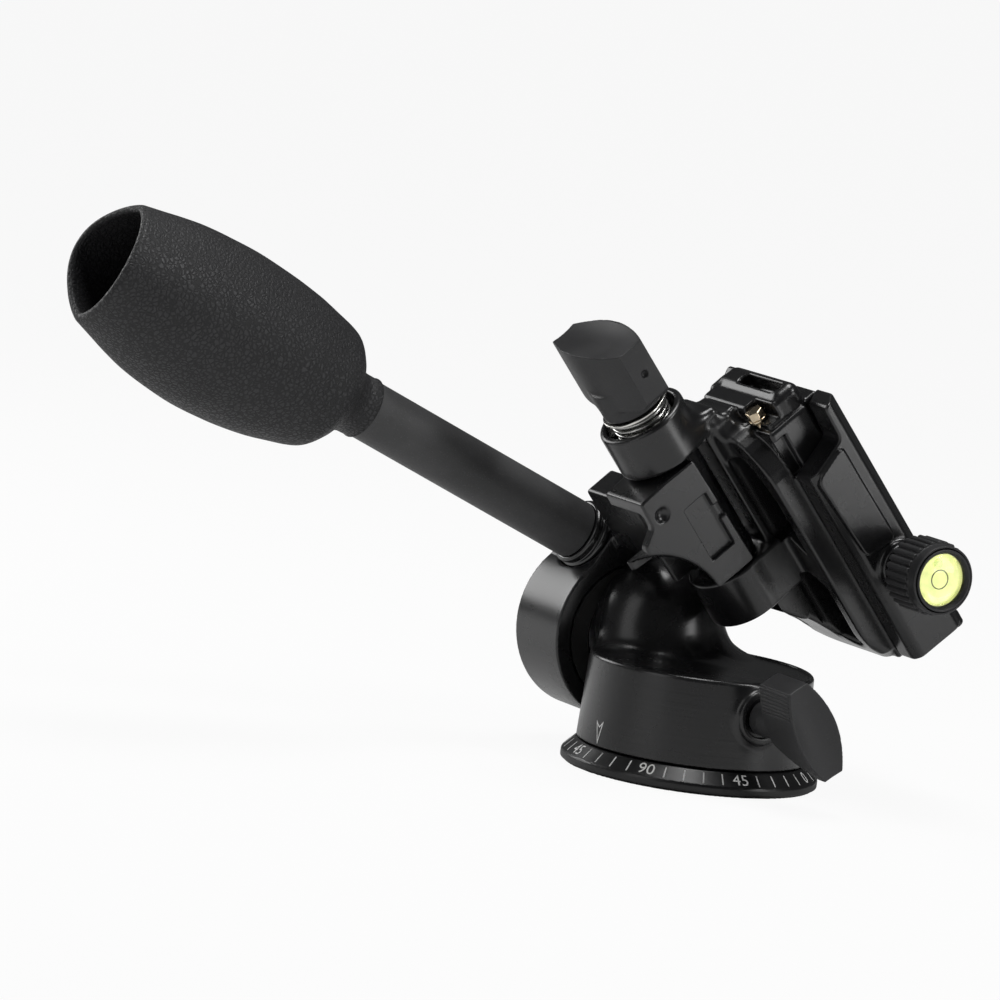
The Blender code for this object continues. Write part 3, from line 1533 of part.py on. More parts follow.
def cut_bed(item):
    """Pockets, bores and slots of the clamp bed."""
    floor = BED_LOW + POCKET_DEPTH
    side = BED_SIDE - POCKET_RIM
    inner = SPINE_HALF_WIDTH
    slant = POCKET_RIM / 2
    for way in (-1, 1):
        rear = [
            (POCKET_ONE_REAR, way * inner),
            (POCKET_ONE_FRONT - slant, way * inner),
            (POCKET_ONE_FRONT - 2 * slant, way * (inner + side) / 2),
            (POCKET_ONE_FRONT + slant, way * side),
            (TRAY_CORNER_X + 2 * slant, way * side),
            (TRAY_CORNER_X - 2 * slant, way * (side - slant)),
            (POCKET_ONE_REAR, way * (inner + 2 * slant)),
        ]
        front = [
            (POCKET_TWO_REAR, way * inner),
            (POCKET_TWO_FRONT - 2 * slant, way * inner),
            (POCKET_TWO_FRONT, way * (side - 2 * slant)),
            (POCKET_TWO_FRONT - slant, way * side),
            (POCKET_TWO_REAR + 3 * slant, way * side),
            (POCKET_TWO_REAR + slant, way * (inner + side) / 2),
        ]
        for label, rows in (("rear_pocket", rear), ("front_pocket", front)):
            cut(item, plate(label, ROLL_AXIS, rows, BED_LOW - OVERRUN * 2, floor))
    room = BARREL_RADIUS + 2 * CLEARANCE
    start = REAR_LUG_END
    cut(item, rod("barrel_room", ROLL_AXIS, room, start, FRONT_LUG_START, "X"))
    axle = rod(
        "bed_axle_bore",
        ROLL_AXIS,
        ROLL_AXLE_RADIUS + CLEARANCE,
        REAR_LUG_START - OVERRUN,
        FRONT_LUG_END + OVERRUN,
        "X",
        steps=SMALL_STEPS,
    )
    mouth = rod("lug_mouth", ROLL_AXIS, MOUTH_RADIUS, REAR_LUG_START - OVERRUN, MOUTH_FLOOR, "X")
    nut_low = FRONT_LUG_END - ROLL_NUT_THICKNESS - 2 * CLEARANCE
    nut_room = rod(
        "nut_pocket",
        ROLL_AXIS,
        ROLL_NUT_RADIUS + 2 * CLEARANCE,
        nut_low,
        FRONT_LUG_END + BED_FRONT,
        "X",
    )
    cut(item, axle, mouth, nut_room)
    screw_end = BED_SIDE - OVERRUN * 4
    screw = rod(
        "clamp_screw_hole",
        ROLL_AXIS,
        CLAMP_SCREW_RADIUS + CLEARANCE,
        -BED_SIDE - OVERRUN,
        screw_end,
        "Y",
        (CLAMP_X, CLAMP_Z),
        SMALL_STEPS,
    )
    cut(item, screw)
    pin_end = JAW_OUTER + 2 * OVERRUN + PIN_LENGTH
    for at in (PIN_REAR_X, PIN_FRONT_X):
        hole = rod(
            "bed_pin_hole",
            ROLL_AXIS,
            PIN_RADIUS + CLEARANCE,
            -BED_SIDE - OVERRUN,
            pin_end,
            "Y",
            (at, PIN_Z),
            SMALL_STEPS,
        )
        cut(item, hole)
    slot_middle = (LOOP_TOP + BED_SEAT) / 2 - SOFT_EDGE * 2
    slot_inset = (LOOP_LEFT - LOOP_RIGHT) * LOOP_SLOT_SHARE
    slot = box(
        "loop_slot",
        ROLL_AXIS,
        (LOOP_REAR - OVERRUN, LOOP_RIGHT + slot_inset, slot_middle - LOOP_SLOT_HEIGHT / 2),
        (LOOP_FRONT + OVERRUN, LOOP_LEFT - slot_inset, slot_middle + LOOP_SLOT_HEIGHT / 2),
    )
    recess_front = BED_REAR + STOP_SCREW_HEAD_HEIGHT + 3 * CLEARANCE
    recess_half = STOP_SCREW_HEAD_RADIUS + 2 * CLEARANCE
    recess = box(
        "screw_recess",
        ROLL_AXIS,
        (BED_REAR - OVERRUN, -BED_SIDE - OVERRUN, STOP_SCREW_Z - recess_half),
        (recess_front, STOP_SCREW_Y + recess_half, STOP_SCREW_Z + recess_half),
    )
    shank = rod(
        "stop_screw_hole",
        ROLL_AXIS,
        STOP_SCREW_RADIUS + CLEARANCE,
        BED_REAR - OVERRUN,
        recess_front + STOP_SCREW_LENGTH + CLEARANCE,
        "X",
        (STOP_SCREW_Y, STOP_SCREW_Z),
        SMALL_STEPS,
    )
    side_slot = box(
        "side_slot",
        ROLL_AXIS,
        (TRAY_CORNER_X - 3 * POCKET_RIM, -BED_SIDE - OVERRUN, BED_LEDGE + SOFT_EDGE),
        (TRAY_CORNER_X - SOFT_EDGE, -BED_SIDE + POCKET_RIM / 2, BED_LEDGE + POCKET_RIM),
    )
    cut(item, slot, recess, shank, side_slot)


def make_roll_joint():
    """Axle, bushes, washers, spring and nut of the roll joint."""
    nut_low = FRONT_LUG_END - ROLL_NUT_THICKNESS - CLEARANCE
    axle = rod(
        "roll_axle",
        ROLL_AXIS,
        ROLL_AXLE_RADIUS,
        ROLL_STEM_FRONT - ROLL_WING_REACH * 0.5,
        FRONT_LUG_END,
        "X",
        steps=SMALL_STEPS,
    )
    soften(axle)
    finish(axle, bright_steel("roll_axle"))
    nut = plate(
        "roll_nut",
        ROLL_AXIS,
        hexagon(ROLL_NUT_RADIUS),
        nut_low,
        nut_low + ROLL_NUT_THICKNESS,
        "YZ",
    )
    soften(nut)
    cut(
        nut,
        rod(
            "roll_nut_bore",
            ROLL_AXIS,
            ROLL_AXLE_RADIUS + CLEARANCE,
            nut_low - OVERRUN,
            FRONT_LUG_END + OVERRUN,
            "X",
            steps=SMALL_STEPS,
        ),
    )
    finish(nut, bright_steel("roll_nut"), 25.0)
    bore = ROLL_AXLE_RADIUS + CLEARANCE
    starts = (("rear", BLOCK_REAR + CLEARANCE), ("front", BLOCK_FRONT - BUSH_LENGTH))
    for label, start in starts:
        name = "roll_bush_" + label
        end = start + BUSH_LENGTH - CLEARANCE
        bush = ring(name, TILT_AXIS, bore, BUSH_RADIUS, start, end, "X", (ROLL_Y, ROLL_HEIGHT), SMALL_STEPS)
        finish(bush, add_material(name + "_brass", (0.70, 0.50, 0.25), 0.35, 1.0))
    inner = ring(
        "roll_washer_inner",
        ROLL_AXIS,
        bore,
        ROLL_WASHER_RADIUS,
        INNER_WASHER_REAR,
        INNER_WASHER_FRONT,
        "X",
    )
    finish(inner, bright_steel("roll_washer_inner"))
    outer = ring(
        "roll_washer_outer",
        ROLL_AXIS,
        bore,
        ROLL_WASHER_RADIUS,
        OUTER_WASHER_REAR,
        OUTER_WASHER_FRONT,
        "X",
    )
    finish(outer, bright_steel("roll_washer_outer"))
    make_roll_spring()
    make_wing_knob(
        "roll_lock_knob",
        ROLL_LOCK_AXIS,
        ROLL_WING_LENGTH,
        ROLL_WING_WIDTH,
        ROLL_WING_TIP,
        ROLL_WING_DEPTH,
        ROLL_WING_REACH,
        ROLL_WING_BACK_SHARES,
        ROLL_WING_STEM_RADIUS,
        bore,
        ROLL_WING_REACH * 0.5 + CLEARANCE,
    )


def make_roll_spring():
    """Coil spring between the washers, one unbroken wire."""
    count = int(SPRING_CURLS * SPRING_POINTS)
    points = []
    for index in range(count + 1):
        turn = 2 * pi * index / SPRING_POINTS
        points.append(
            Vector(
                (
                    SPRING_FRONT - SPRING_PITCH * index / SPRING_POINTS,
                    SPRING_RADIUS * cos(turn),
                    SPRING_RADIUS * sin(turn),
                ),
            )
        )
    gaps = [
        (first - second).length - 2 * SPRING_WIRE_RADIUS
        for i, first in enumerate(points)
        for j, second in enumerate(points)
        if j - i >= SPRING_POINTS // 2
    ]
    print("least gap of the roll spring to itself, mm:", round(min(gaps) / 0.001, 3))
    curve = bpy.data.curves.new("roll_spring", "CURVE")
    curve.dimensions = "3D"
    curve.bevel_depth = SPRING_WIRE_RADIUS
    curve.bevel_resolution = 1
    curve.use_fill_caps = True
    curve.render_resolution_u = 0
    spline = curve.splines.new("POLY")
    spline.points.add(len(points) - 1)
    for point, place in zip(spline.points, points):
        point.co = (*place, 1.0)
    drawn = bpy.data.objects.new("roll_spring_route", curve)
    PARTS.objects.link(drawn)
    mesh = bpy.data.meshes.new_from_object(drawn)
    bpy.data.objects.remove(drawn, do_unlink=True)
    shape = bmesh.new()
    shape.from_mesh(mesh)
    bmesh.ops.remove_doubles(shape, verts=shape.verts, dist=SOFT_EDGE / 50)
    shape.to_mesh(mesh)
    shape.free()
    item = add_object("roll_spring", mesh, ROLL_AXIS)
    return finish(item, bright_steel("roll_spring"), 60.0)


def make_clamp_jaw():
    """Sliding jaw with its raised panel and screw boss."""
    lip = JAW_LIP
    rows = [
        (JAW_INNER, JAW_LOW),
        (JAW_INNER, BED_SEAT + DOVETAIL / 2),
        (JAW_INNER + DOVETAIL, JAW_TOP - DOVETAIL / 2),
        (JAW_INNER + DOVETAIL, JAW_TOP),
        (JAW_OUTER + 2 * lip, JAW_TOP),
        (JAW_OUTER, BED_SEAT + DOVETAIL),
        (JAW_OUTER, JAW_LOW + lip),
        (JAW_OUTER + lip, JAW_LOW),
    ]
    item = plate("clamp_jaw", ROLL_AXIS, rows, JAW_REAR, JAW_FRONT, "YZ")
    soften(item, SOFT_EDGE, 2, 20.0)
    side = [
        (JAW_REAR - OVERRUN, JAW_HEEL_Z),
        (JAW_HEEL_X - POCKET_RIM, JAW_HEEL_Z - SOFT_EDGE),
        (JAW_HEEL_X, JAW_LOW - OVERRUN),
        (JAW_FRONT - OVERRUN, JAW_LOW - OVERRUN),
        (JAW_FRONT + OVERRUN, BED_SEAT),
        (JAW_FRONT + OVERRUN, JAW_TOP + OVERRUN),
        (JAW_REAR - OVERRUN, JAW_TOP + OVERRUN),
    ]
    common(item, plate("jaw_side", ROLL_AXIS, side, JAW_OUTER - OVERRUN, JAW_INNER + 2 * DOVETAIL, "XZ"))
    length = CLAMP_X - JAW_HEEL_X
    height = BED_SEAT - JAW_LOW
    panel_rows = [(JAW_HEEL_X + x * length, JAW_LOW + z * height) for x, z in PANEL_SHARES]
    panel = plate("jaw_panel", ROLL_AXIS, panel_rows, JAW_OUTER - PANEL_RAISE, JAW_OUTER + lip, "XZ")
    soften(panel, SOFT_EDGE, 2, 20.0)
    boss = rod(
        "screw_boss",
        ROLL_AXIS,
        CLAMP_BOSS_RADIUS,
        BOSS_FACE,
        JAW_OUTER + lip,
        "Y",
        (CLAMP_X, CLAMP_Z),
    )
    soften(boss, SOFT_EDGE)
    lobe = rod(
        "jaw_lobe",
        ROLL_AXIS,
        JAW_LOBE_RADIUS,
        JAW_FRONT - DOVETAIL,
        JAW_FRONT + JAW_LOBE_RADIUS * LOBE_SHARE,
        "X",
        ((JAW_INNER + JAW_OUTER) / 2, JAW_TOP - JAW_LOBE_RADIUS),
        SMALL_STEPS,
    )
    soften(lobe, SOFT_EDGE)
    join(item, panel, boss, lobe)
    hole = rod(
        "jaw_screw_hole",
        ROLL_AXIS,
        CLAMP_SCREW_RADIUS + CLEARANCE,
        BOSS_FACE - OVERRUN,
        JAW_INNER + OVERRUN,
        "Y",
        (CLAMP_X, CLAMP_Z),
        SMALL_STEPS,
    )
    cut(item, hole)
    for at in (PIN_REAR_X, PIN_FRONT_X):
        pin = rod(
            "jaw_pin_hole",
            ROLL_AXIS,
            PIN_RADIUS + CLEARANCE,
            JAW_OUTER + OVERRUN - SOFT_EDGE,
            JAW_INNER + OVERRUN,
            "Y",
            (at, PIN_Z),
            SMALL_STEPS,
        )
        cut(item, pin)
    return finish(item, black_casting("clamp_jaw"))


def make_clamp_screw():
    """Screw, washer and guide pins of the jaw."""
    place = (CLAMP_X, CLAMP_Z)
    outer = KNOB_BACK - CLAMP_KNOB_LENGTH + WINDOW_RECESS_DEPTH + 4 * CLEARANCE
    screw = rod(
        "clamp_screw",
        ROLL_AXIS,
        CLAMP_SCREW_RADIUS,
        outer,
        outer + CLAMP_SCREW_LENGTH,
        "Y",
        place,
        SMALL_STEPS,
    )
    soften(screw)
    finish(screw, bright_steel("clamp_screw"))
    washer = ring(
        "clamp_washer",
        ROLL_AXIS,
        CLAMP_SCREW_RADIUS + CLEARANCE,
        CLAMP_WASHER_RADIUS,
        CLAMP_WASHER_OUT,
        CLAMP_WASHER_IN,
        "Y",
        place,
        SMALL_STEPS,
    )
    finish(washer, bright_steel("clamp_washer"))
    start = JAW_OUTER + OVERRUN
    for label, at in (("rear", PIN_REAR_X), ("front", PIN_FRONT_X)):
        name = "guide_pin_" + label
        pin = rod(
            name,
            ROLL_AXIS,
            PIN_RADIUS,
            start,
            start + PIN_LENGTH - CLEARANCE,
            "Y",
            (at, PIN_Z),
            SMALL_STEPS,
        )
        finish(soften(pin), bright_steel(name))


def make_clamp_knob():
    """Ribbed knob, turned about the clamp screw."""
    back = -KNOB_BACK
    face = -KNOB_FACE
    rim = CLAMP_KNOB_RADIUS - SOFT_EDGE * KNOB_RIM_SHARE
    wide_share, step_share, neck_share = KNOB_SHARES
    profile = [
        (0, face),
        (rim - SOFT_EDGE, face),
        (rim, face - SOFT_EDGE),
        (rim, face - CLAMP_KNOB_STEP),
        (CLAMP_KNOB_RADIUS, face - CLAMP_KNOB_STEP - SOFT_EDGE / 2),
        (CLAMP_KNOB_RADIUS, back + CLAMP_KNOB_LENGTH * wide_share),
        (CLAMP_KNOB_RADIUS - SOFT_EDGE * 2, back + CLAMP_KNOB_LENGTH * step_share),
        (CLAMP_KNOB_NECK_RADIUS, back + CLAMP_KNOB_LENGTH * neck_share),
        (CLAMP_KNOB_NECK_RADIUS, back),
        (0, back),
    ]
    item = turned("clamp_knob", CLAMP_AXIS, profile, closed=False)
    for place in circle_places(CLAMP_KNOB_RADIUS, CLAMP_KNOB_RIBS, 0.0):
        rib = rod(
            "knob_rib",
            CLAMP_AXIS,
            RIB_RADIUS,
            back + CLAMP_KNOB_LENGTH * KNOB_RIB_SHARE,
            face - CLAMP_KNOB_STEP - SOFT_EDGE,
            "Z",
            place,
            6,
        )
        join(item, rib)
    recess = rod(
        "window_recess",
        CLAMP_AXIS,
        WINDOW_RECESS_RADIUS,
        face - WINDOW_RECESS_DEPTH,
        face + OVERRUN,
        steps=FINE_STEPS,
    )
    bore_end = face - WINDOW_RECESS_DEPTH / 2
    bore = rod(
        "knob_bore",
        CLAMP_AXIS,
        CLAMP_SCREW_RADIUS + CLEARANCE,
        back - OVERRUN,
        bore_end,
        steps=SMALL_STEPS,
    )
    cut(item, recess, bore)
    return finish(item, black_plastic("clamp_knob"))


def make_level():
    """Round bubble level in the knob's end."""
    floor = -RECESS_FLOOR + CLEARANCE
    cup_top = floor + CUP_HEIGHT
    cup = turned(
        "vial_cup",
        CLAMP_AXIS,
        [
            (0, floor + CUP_WALL),
            (CUP_BORE, floor + CUP_WALL),
            (CUP_BORE, cup_top),
            (CUP_RADIUS, cup_top),
            (CUP_RADIUS, floor),
            (0, floor),
        ],
        closed=False,
    )
    finish(cup, add_material("vial_cup_white", (0.72, 0.75, 0.60), 0.40))
    fluid_low = floor + CUP_WALL + CLEARANCE
    fluid_top = cup_top - CLEARANCE
    fluid_radius = CUP_BORE - CLEARANCE
    fluid = rod("level_fluid", CLAMP_AXIS, fluid_radius, fluid_low, fluid_top)
    room = rod(
        "bubble_room",
        CLAMP_AXIS,
        BUBBLE_RADIUS + CLEARANCE,
        fluid_top - BUBBLE_RADIUS,
        fluid_top + OVERRUN,
        "Z",
        (BUBBLE_OFFSET * 0.2, BUBBLE_OFFSET),
        SMALL_STEPS,
    )
    cut(fluid, room)
    finish(fluid, add_material("level_fluid_green", (0.62, 0.80, 0.12), 0.12))
    bubble = ball(
        "level_bubble",
        CLAMP_AXIS,
        (BUBBLE_RADIUS, BUBBLE_RADIUS, BUBBLE_RADIUS * 0.4),
        (BUBBLE_OFFSET * 0.2, BUBBLE_OFFSET, fluid_top - BUBBLE_RADIUS * 0.45),
        SMALL_STEPS,
    )
    finish(bubble, add_material("level_bubble_clear", (0.85, 0.95, 0.60), 0.08))
    bezel_low = cup_top + CLEARANCE
    bezel_bore = CUP_RADIUS - BEZEL_WIDTH
    bezel = ring("knob_bezel", CLAMP_AXIS, bezel_bore, CUP_RADIUS, bezel_low, bezel_low + BEZEL_HEIGHT)
    finish(bezel, black_plastic("knob_bezel"))
    lens_radius = min(bezel_bore, CUP_BORE) - CLEARANCE
    lens = rod("level_lens", CLAMP_AXIS, lens_radius, cup_top, cup_top + LENS_THICKNESS)
    soften(lens)
    finish(lens, add_material("level_lens_clear", (0.80, 0.92, 0.45), 0.05))


def make_stop_screw():
    """Hexagon-socket screw at the bed's rear corner."""
    item = cap_screw(
        "stop_screw",
        ROLL_AXIS,
        (STOP_SCREW_Y, STOP_SCREW_Z),
        STOP_SCREW_RADIUS,
        STOP_SCREW_HEAD_RADIUS,
        STOP_SCREW_HEAD_HEIGHT,
        STOP_SCREW_LENGTH,
        "X",
        BED_REAR + CLEARANCE,
        1,
        STOP_SCREW_RADIUS,
    )
    return finish(item, add_material("stop_screw_brass", (0.80, 0.66, 0.48), 0.22, 1.0))


make_base_plate()
make_thread_insert()
make_pan_hub()
make_hub_screws()
make_pan_washers()
make_retainer()
make_pan_housing()
make_pan_lock()
make_tilt_stack()
make_tilt_bracket()
make_drum_cover()
make_handle_lock()
make_handle()
make_grip()
make_clamp_bed()
make_roll_joint()
make_clamp_jaw()
make_clamp_screw()
make_clamp_knob()
make_level()
make_stop_screw()
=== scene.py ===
from math import cos, pi, radians, sin, sqrt

import bmesh
import bpy
import numpy as np
from bpy.props import FloatProperty, FloatVectorProperty, IntProperty, PointerProperty
from mathutils import Matrix, Vector


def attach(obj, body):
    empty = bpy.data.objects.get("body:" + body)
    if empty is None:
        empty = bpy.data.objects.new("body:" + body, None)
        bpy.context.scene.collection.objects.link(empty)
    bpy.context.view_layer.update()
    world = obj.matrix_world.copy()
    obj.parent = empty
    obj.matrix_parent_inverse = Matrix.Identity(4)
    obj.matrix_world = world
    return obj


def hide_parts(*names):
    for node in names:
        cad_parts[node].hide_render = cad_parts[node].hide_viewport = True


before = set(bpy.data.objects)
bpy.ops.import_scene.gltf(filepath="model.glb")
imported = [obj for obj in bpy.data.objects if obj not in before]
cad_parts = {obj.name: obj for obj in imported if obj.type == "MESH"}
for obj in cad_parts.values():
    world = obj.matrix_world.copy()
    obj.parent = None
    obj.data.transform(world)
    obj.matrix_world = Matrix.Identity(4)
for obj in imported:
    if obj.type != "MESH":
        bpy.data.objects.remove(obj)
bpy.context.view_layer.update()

bl_info = {
    "name": "Fluid Video Head",
    "version": (1, 0, 0),
    "blender": (4, 5, 0),
    "location": "3D View > Sidebar > Video Head",
    "description": "Dresses a small fluid video head with a rolling quick-release clamp",
    "category": "Add Mesh",
}

MM = 0.001
FAR = 99.0  # a station past every form, for cuts with an open end


# Frames of the moving groups: an origin in millimetres and the three axes as columns


def turn_x(angle):
    a = radians(angle)
    return np.array([[1, 0, 0], [0, cos(a), -sin(a)], [0, sin(a), cos(a)]])


def turn_y(angle):
    a = radians(angle)
    return np.array([[cos(a), 0, sin(a)], [0, 1, 0], [-sin(a), 0, cos(a)]])


def turn_z(angle):
    a = radians(angle)
    return np.array([[cos(a), -sin(a), 0], [sin(a), cos(a), 0], [0, 0, 1]])


def place_in(outer, spot, axes=np.eye(3)):
    """Frame inside another frame."""
    origin, turn = outer
    return origin + turn @ np.array(spot, float), turn @ axes


WORLD = (np.zeros(3), np.eye(3))
PART = (np.zeros(3), np.eye(3) / MM)  # keeps millimetres, for parts that a tree places
TILT = place_in(WORLD, (-5.5, 0.0, 28.8), turn_y(48.8))
DRUM = place_in(TILT, (0, 0, 0), turn_x(-90))
HANDLE_TURN = -115.97
HANDLE_RISE = radians(HANDLE_TURN + 90.0)
HANDLE_FOOT = (16.3 * sin(HANDLE_RISE), 33.75, 16.3 * cos(HANDLE_RISE))
HANDLE = place_in(TILT, HANDLE_FOOT, turn_y(HANDLE_TURN))
ROLL_SPOT = (0.0, -4.0, 19.8)
ROLL = place_in(TILT, ROLL_SPOT)
ROLL_AXIS = place_in(ROLL, (0, 0, 0), turn_y(90))
ROLL_LOCK = place_in(ROLL, (-62.2, 0.0, 0.0), turn_z(90) @ turn_y(2.4) @ turn_x(-90))
PAN_LOCK_SPOT = (0.4, -28.6, 19.2)
PAN_LOCK = place_in(WORLD, PAN_LOCK_SPOT, turn_y(57.1) @ turn_x(90))
CLAMP_SPOT = (3.0, 0.0, 26.75)
CLAMP = place_in(ROLL, CLAMP_SPOT, turn_x(90))


def to_world(frame_used, points):
    """Points of a frame in millimetres as rows in metres."""
    origin, turn = frame_used
    return (np.asarray(points, float) @ turn.T + origin) * MM


def rigid(turn):
    """Three axes as a 4 x 4 matrix."""
    return Matrix([list(row) + [0.0] for row in turn] + [[0, 0, 0, 1]])


def matrix_of(frame_used):
    """Frame as a Blender matrix that takes millimetres to metres."""
    origin, turn = frame_used
    return Matrix.Translation(Vector(origin * MM)) @ rigid(turn) @ Matrix.Scale(MM, 4)


# Signed distances, in millimetres, that the castings are described with


def slab(at, low, high):
    """Distance to the room between two stations."""
    return np.maximum(low - at, at - high)


def round_two(a, b, edge):
    """What two forms share, with a round edge where they cross."""
    u = a + edge
    v = b + edge
    return np.minimum(np.maximum(u, v), 0) + np.hypot(np.maximum(u, 0), np.maximum(v, 0)) - edge


def box_form(x, y, z, low, high, edge):
    """Box with round edges."""
    u, v, w = (slab(at, low[i], high[i]) for i, at in enumerate((x, y, z)))
    return round_two(round_two(u, v, edge), w, edge)


def rod_form(first, second, along, radius, low, high, edge):
    """Cylinder with round ends."""
    return round_two(np.hypot(first, second) - radius, slab(along, low, high), edge)


def ellipsoid(x, y, z, radii):
    """Near distance to an ellipsoid."""
    outer = np.sqrt((x / radii[0]) ** 2 + (y / radii[1]) ** 2 + (z / radii[2]) ** 2)
    slope = np.sqrt(
        (x / radii[0] ** 2) ** 2 + (y / radii[1] ** 2) ** 2 + (z / radii[2] ** 2) ** 2
    )
    return outer * (outer - 1) / np.maximum(slope, 1e-6)


def outline_form(u, v, points):
    """Distance to a flat outline, negative inside."""
    u, v = np.broadcast_arrays(u, v)
    best = np.full(u.shape, 1e9)
    inside = np.zeros(u.shape, bool)
    rows = [tuple(map(float, p)) for p in points]
    for (u0, v0), (u1, v1) in zip(rows, rows[1:] + rows[:1]):
        du = u1 - u0
        dv = v1 - v0
        size = du * du + dv * dv
        if size < 1e-12:
            continue
        t = np.clip(((u - u0) * du + (v - v0) * dv) / size, 0, 1)
        best = np.minimum(best, (u - u0 - t * du) ** 2 + (v - v0 - t * dv) ** 2)
        if dv:
            inside ^= ((v0 > v) != (v1 > v)) & (u < u0 + (v - v0) * du / dv)
    return np.where(inside, -1.0, 1.0) * np.sqrt(best)


def merge(a, b, fillet):
    """Two forms as one, with a fillet between them."""
    h = np.maximum(fillet - np.abs(a - b), 0) / fillet
    return np.minimum(a, b) - h * h * fillet * 0.25


def carve(a, b, fillet):
    """First form with the second taken out of it."""
    return -merge(-a, b, fillet)


def meet(a, b, fillet):
    """What two forms share, softly."""
    return -merge(-a, -b, fillet)


def bore(item, away, radius, at, low, high, fillet):
    """Form with a round hole between two stations."""
    return carve(item, np.maximum(away - radius, slab(at, low, high)), fillet)


def past_plane(x, y, z, spot, way):
    """Distance past a plane, along its way."""
    return (x - spot[0]) * way[0] + (y - spot[1]) * way[1] + (z - spot[2]) * way[2]


def soft_corners(points, radius, closed=True, steps=4, support=0.25):
    """Outline with each corner rounded, and a support point beside each arc."""
    rows = [np.array(p, float) for p in points]
    count = len(rows)
    result = []
    for index, here in enumerate(rows):
        before = rows[index - 1] - here
        after = rows[(index + 1) % count] - here
        long_before = np.linalg.norm(before)
        long_after = np.linalg.norm(after)
        at_end = not closed and index in (0, count - 1)
        if at_end or long_before < 1e-9 or long_after < 1e-9:
            result.append(here)
            continue
        one = before / long_before
        two = after / long_after
        reach = min(radius, 0.42 * long_before, 0.42 * long_after)
        if float(one @ two) < -0.995 or reach <= 0:
            result.append(here)
            continue
        start = here + one * reach
        end = here + two * reach
        if support:
            result.append(here + one * reach * (1 + min(support, 0.15 * long_before / reach)))
        for step in range(steps + 1):
            t = step / steps
            result.append(start * (1 - t) ** 2 + here * 2 * t * (1 - t) + end * t * t)
        if support:
            result.append(here + two * reach * (1 + min(support, 0.15 * long_after / reach)))
    return [tuple(p) for p in result]


def soft_form(u, v, points, radius):
    """Distance to a flat outline with rounded corners."""
    return outline_form(u, v, soft_corners(points, radius, support=0))


# Meshes


def smooth(mesh):
    for polygon in mesh.polygons:
        polygon.use_smooth = True
    return mesh


def to_mesh(shape, mesh):
    """Writes a working shape into a mesh and lets it go."""
    shape.to_mesh(mesh)
    shape.free()
    return mesh


def shape_of(*meshes):
    """Working shape with the given meshes in it."""
    shape = bmesh.new()
    for mesh in meshes:
        shape.from_mesh(mesh)
    return shape


def clean(shape, merge_by=1e-7):
    """Joins doubled points and turns the faces outward."""
    bmesh.ops.remove_doubles(shape, verts=shape.verts, dist=merge_by)
    bmesh.ops.recalc_face_normals(shape, faces=shape.faces)
    return shape


def new_mesh(name, points, faces, normals=None):
    """Mesh from arrays, smooth shaded."""
    mesh = bpy.data.meshes.new(name)
    points = np.asarray(points, np.float32)
    faces = np.asarray(faces, np.int32)
    starts = np.arange(0, faces.size, faces.shape[1], dtype=np.int32)
    mesh.vertices.add(len(points))
    mesh.vertices.foreach_set("co", points.ravel())
    mesh.loops.add(faces.size)
    mesh.loops.foreach_set("vertex_index", faces.ravel())
    mesh.polygons.add(len(faces))
    mesh.polygons.foreach_set("loop_start", starts)
    mesh.polygons.foreach_set("use_smooth", np.ones(len(faces), bool))
    mesh.update(calc_edges=True)
    mesh.validate()
    if normals is not None and len(mesh.vertices) == len(normals):
        mesh.normals_split_custom_set_from_vertices(np.asarray(normals, np.float32))
    return mesh


def crossings(grid, sizes):
    """Faces as rows of cell numbers round each grid edge that the surface crosses."""
    codes = []
    places = []
    for axis in range(3):
        head = [slice(None)] * 3
        tail = [slice(None)] * 3
        head[axis] = slice(0, -1)
        tail[axis] = slice(1, None)
        first = grid[tuple(head)]
        second = grid[tuple(tail)]
        cross = (first < 0) != (second < 0)
        cell = np.argwhere(cross)
        d0 = first[cross]
        d1 = second[cross]
        place = cell.astype(float)
        place[:, axis] += d0 / (d0 - d1)
        around = []
        for du, dv in ((0, 0), (-1, 0), (-1, -1), (0, -1)):
            c = cell.copy()
            c[:, (axis + 1) % 3] += du
            c[:, (axis + 2) % 3] += dv
            around.append((c[:, 0] * sizes[1] + c[:, 1]) * sizes[2] + c[:, 2])
        around = np.stack(around, 1)
        flip = d0 >= 0
        around[flip] = around[flip][:, ::-1]
        codes.append(around)
        places.append(np.repeat(place, 4, axis=0))
    return np.concatenate(codes), np.concatenate(places)


def cast(name, form, low, high, pitch, frame_used):
    """Mesh of a form's surface, one vertex in each grid cell that the surface passes."""
    axes = [np.arange(low[i] - 2 * pitch, high[i] + 3 * pitch, pitch) for i in range(3)]
    sizes = [len(a) for a in axes]
    field = form(axes[0][:, None, None], axes[1][None, :, None], axes[2][None, None, :])
    codes, places = crossings(np.broadcast_to(field, sizes), sizes)
    where = np.unique(codes.ravel(), return_inverse=True)[1]
    count = np.bincount(where)
    points = np.stack([np.bincount(where, places[:, i]) / count for i in range(3)], 1)
    points = points * pitch + np.array([a[0] for a in axes])
    step = 0.04
    slope = np.zeros_like(points)
    for turn in range(4):
        value = form(*points.T)
        for axis in range(3):
            ahead = points.copy()
            behind = points.copy()
            ahead[:, axis] += step
            behind[:, axis] -= step
            slope[:, axis] = (form(*ahead.T) - form(*behind.T)) / (2 * step)
        size = np.maximum(np.sum(slope**2, 1), 0.05)
        if turn < 3:
            points = points - np.clip(value / size, -pitch / 2, pitch / 2)[:, None] * slope
    normals = slope / np.maximum(np.linalg.norm(slope, axis=1), 1e-6)[:, None]
    return new_mesh(
        name, to_world(frame_used, points), where.reshape(-1, 4), normals @ frame_used[1].T
    )


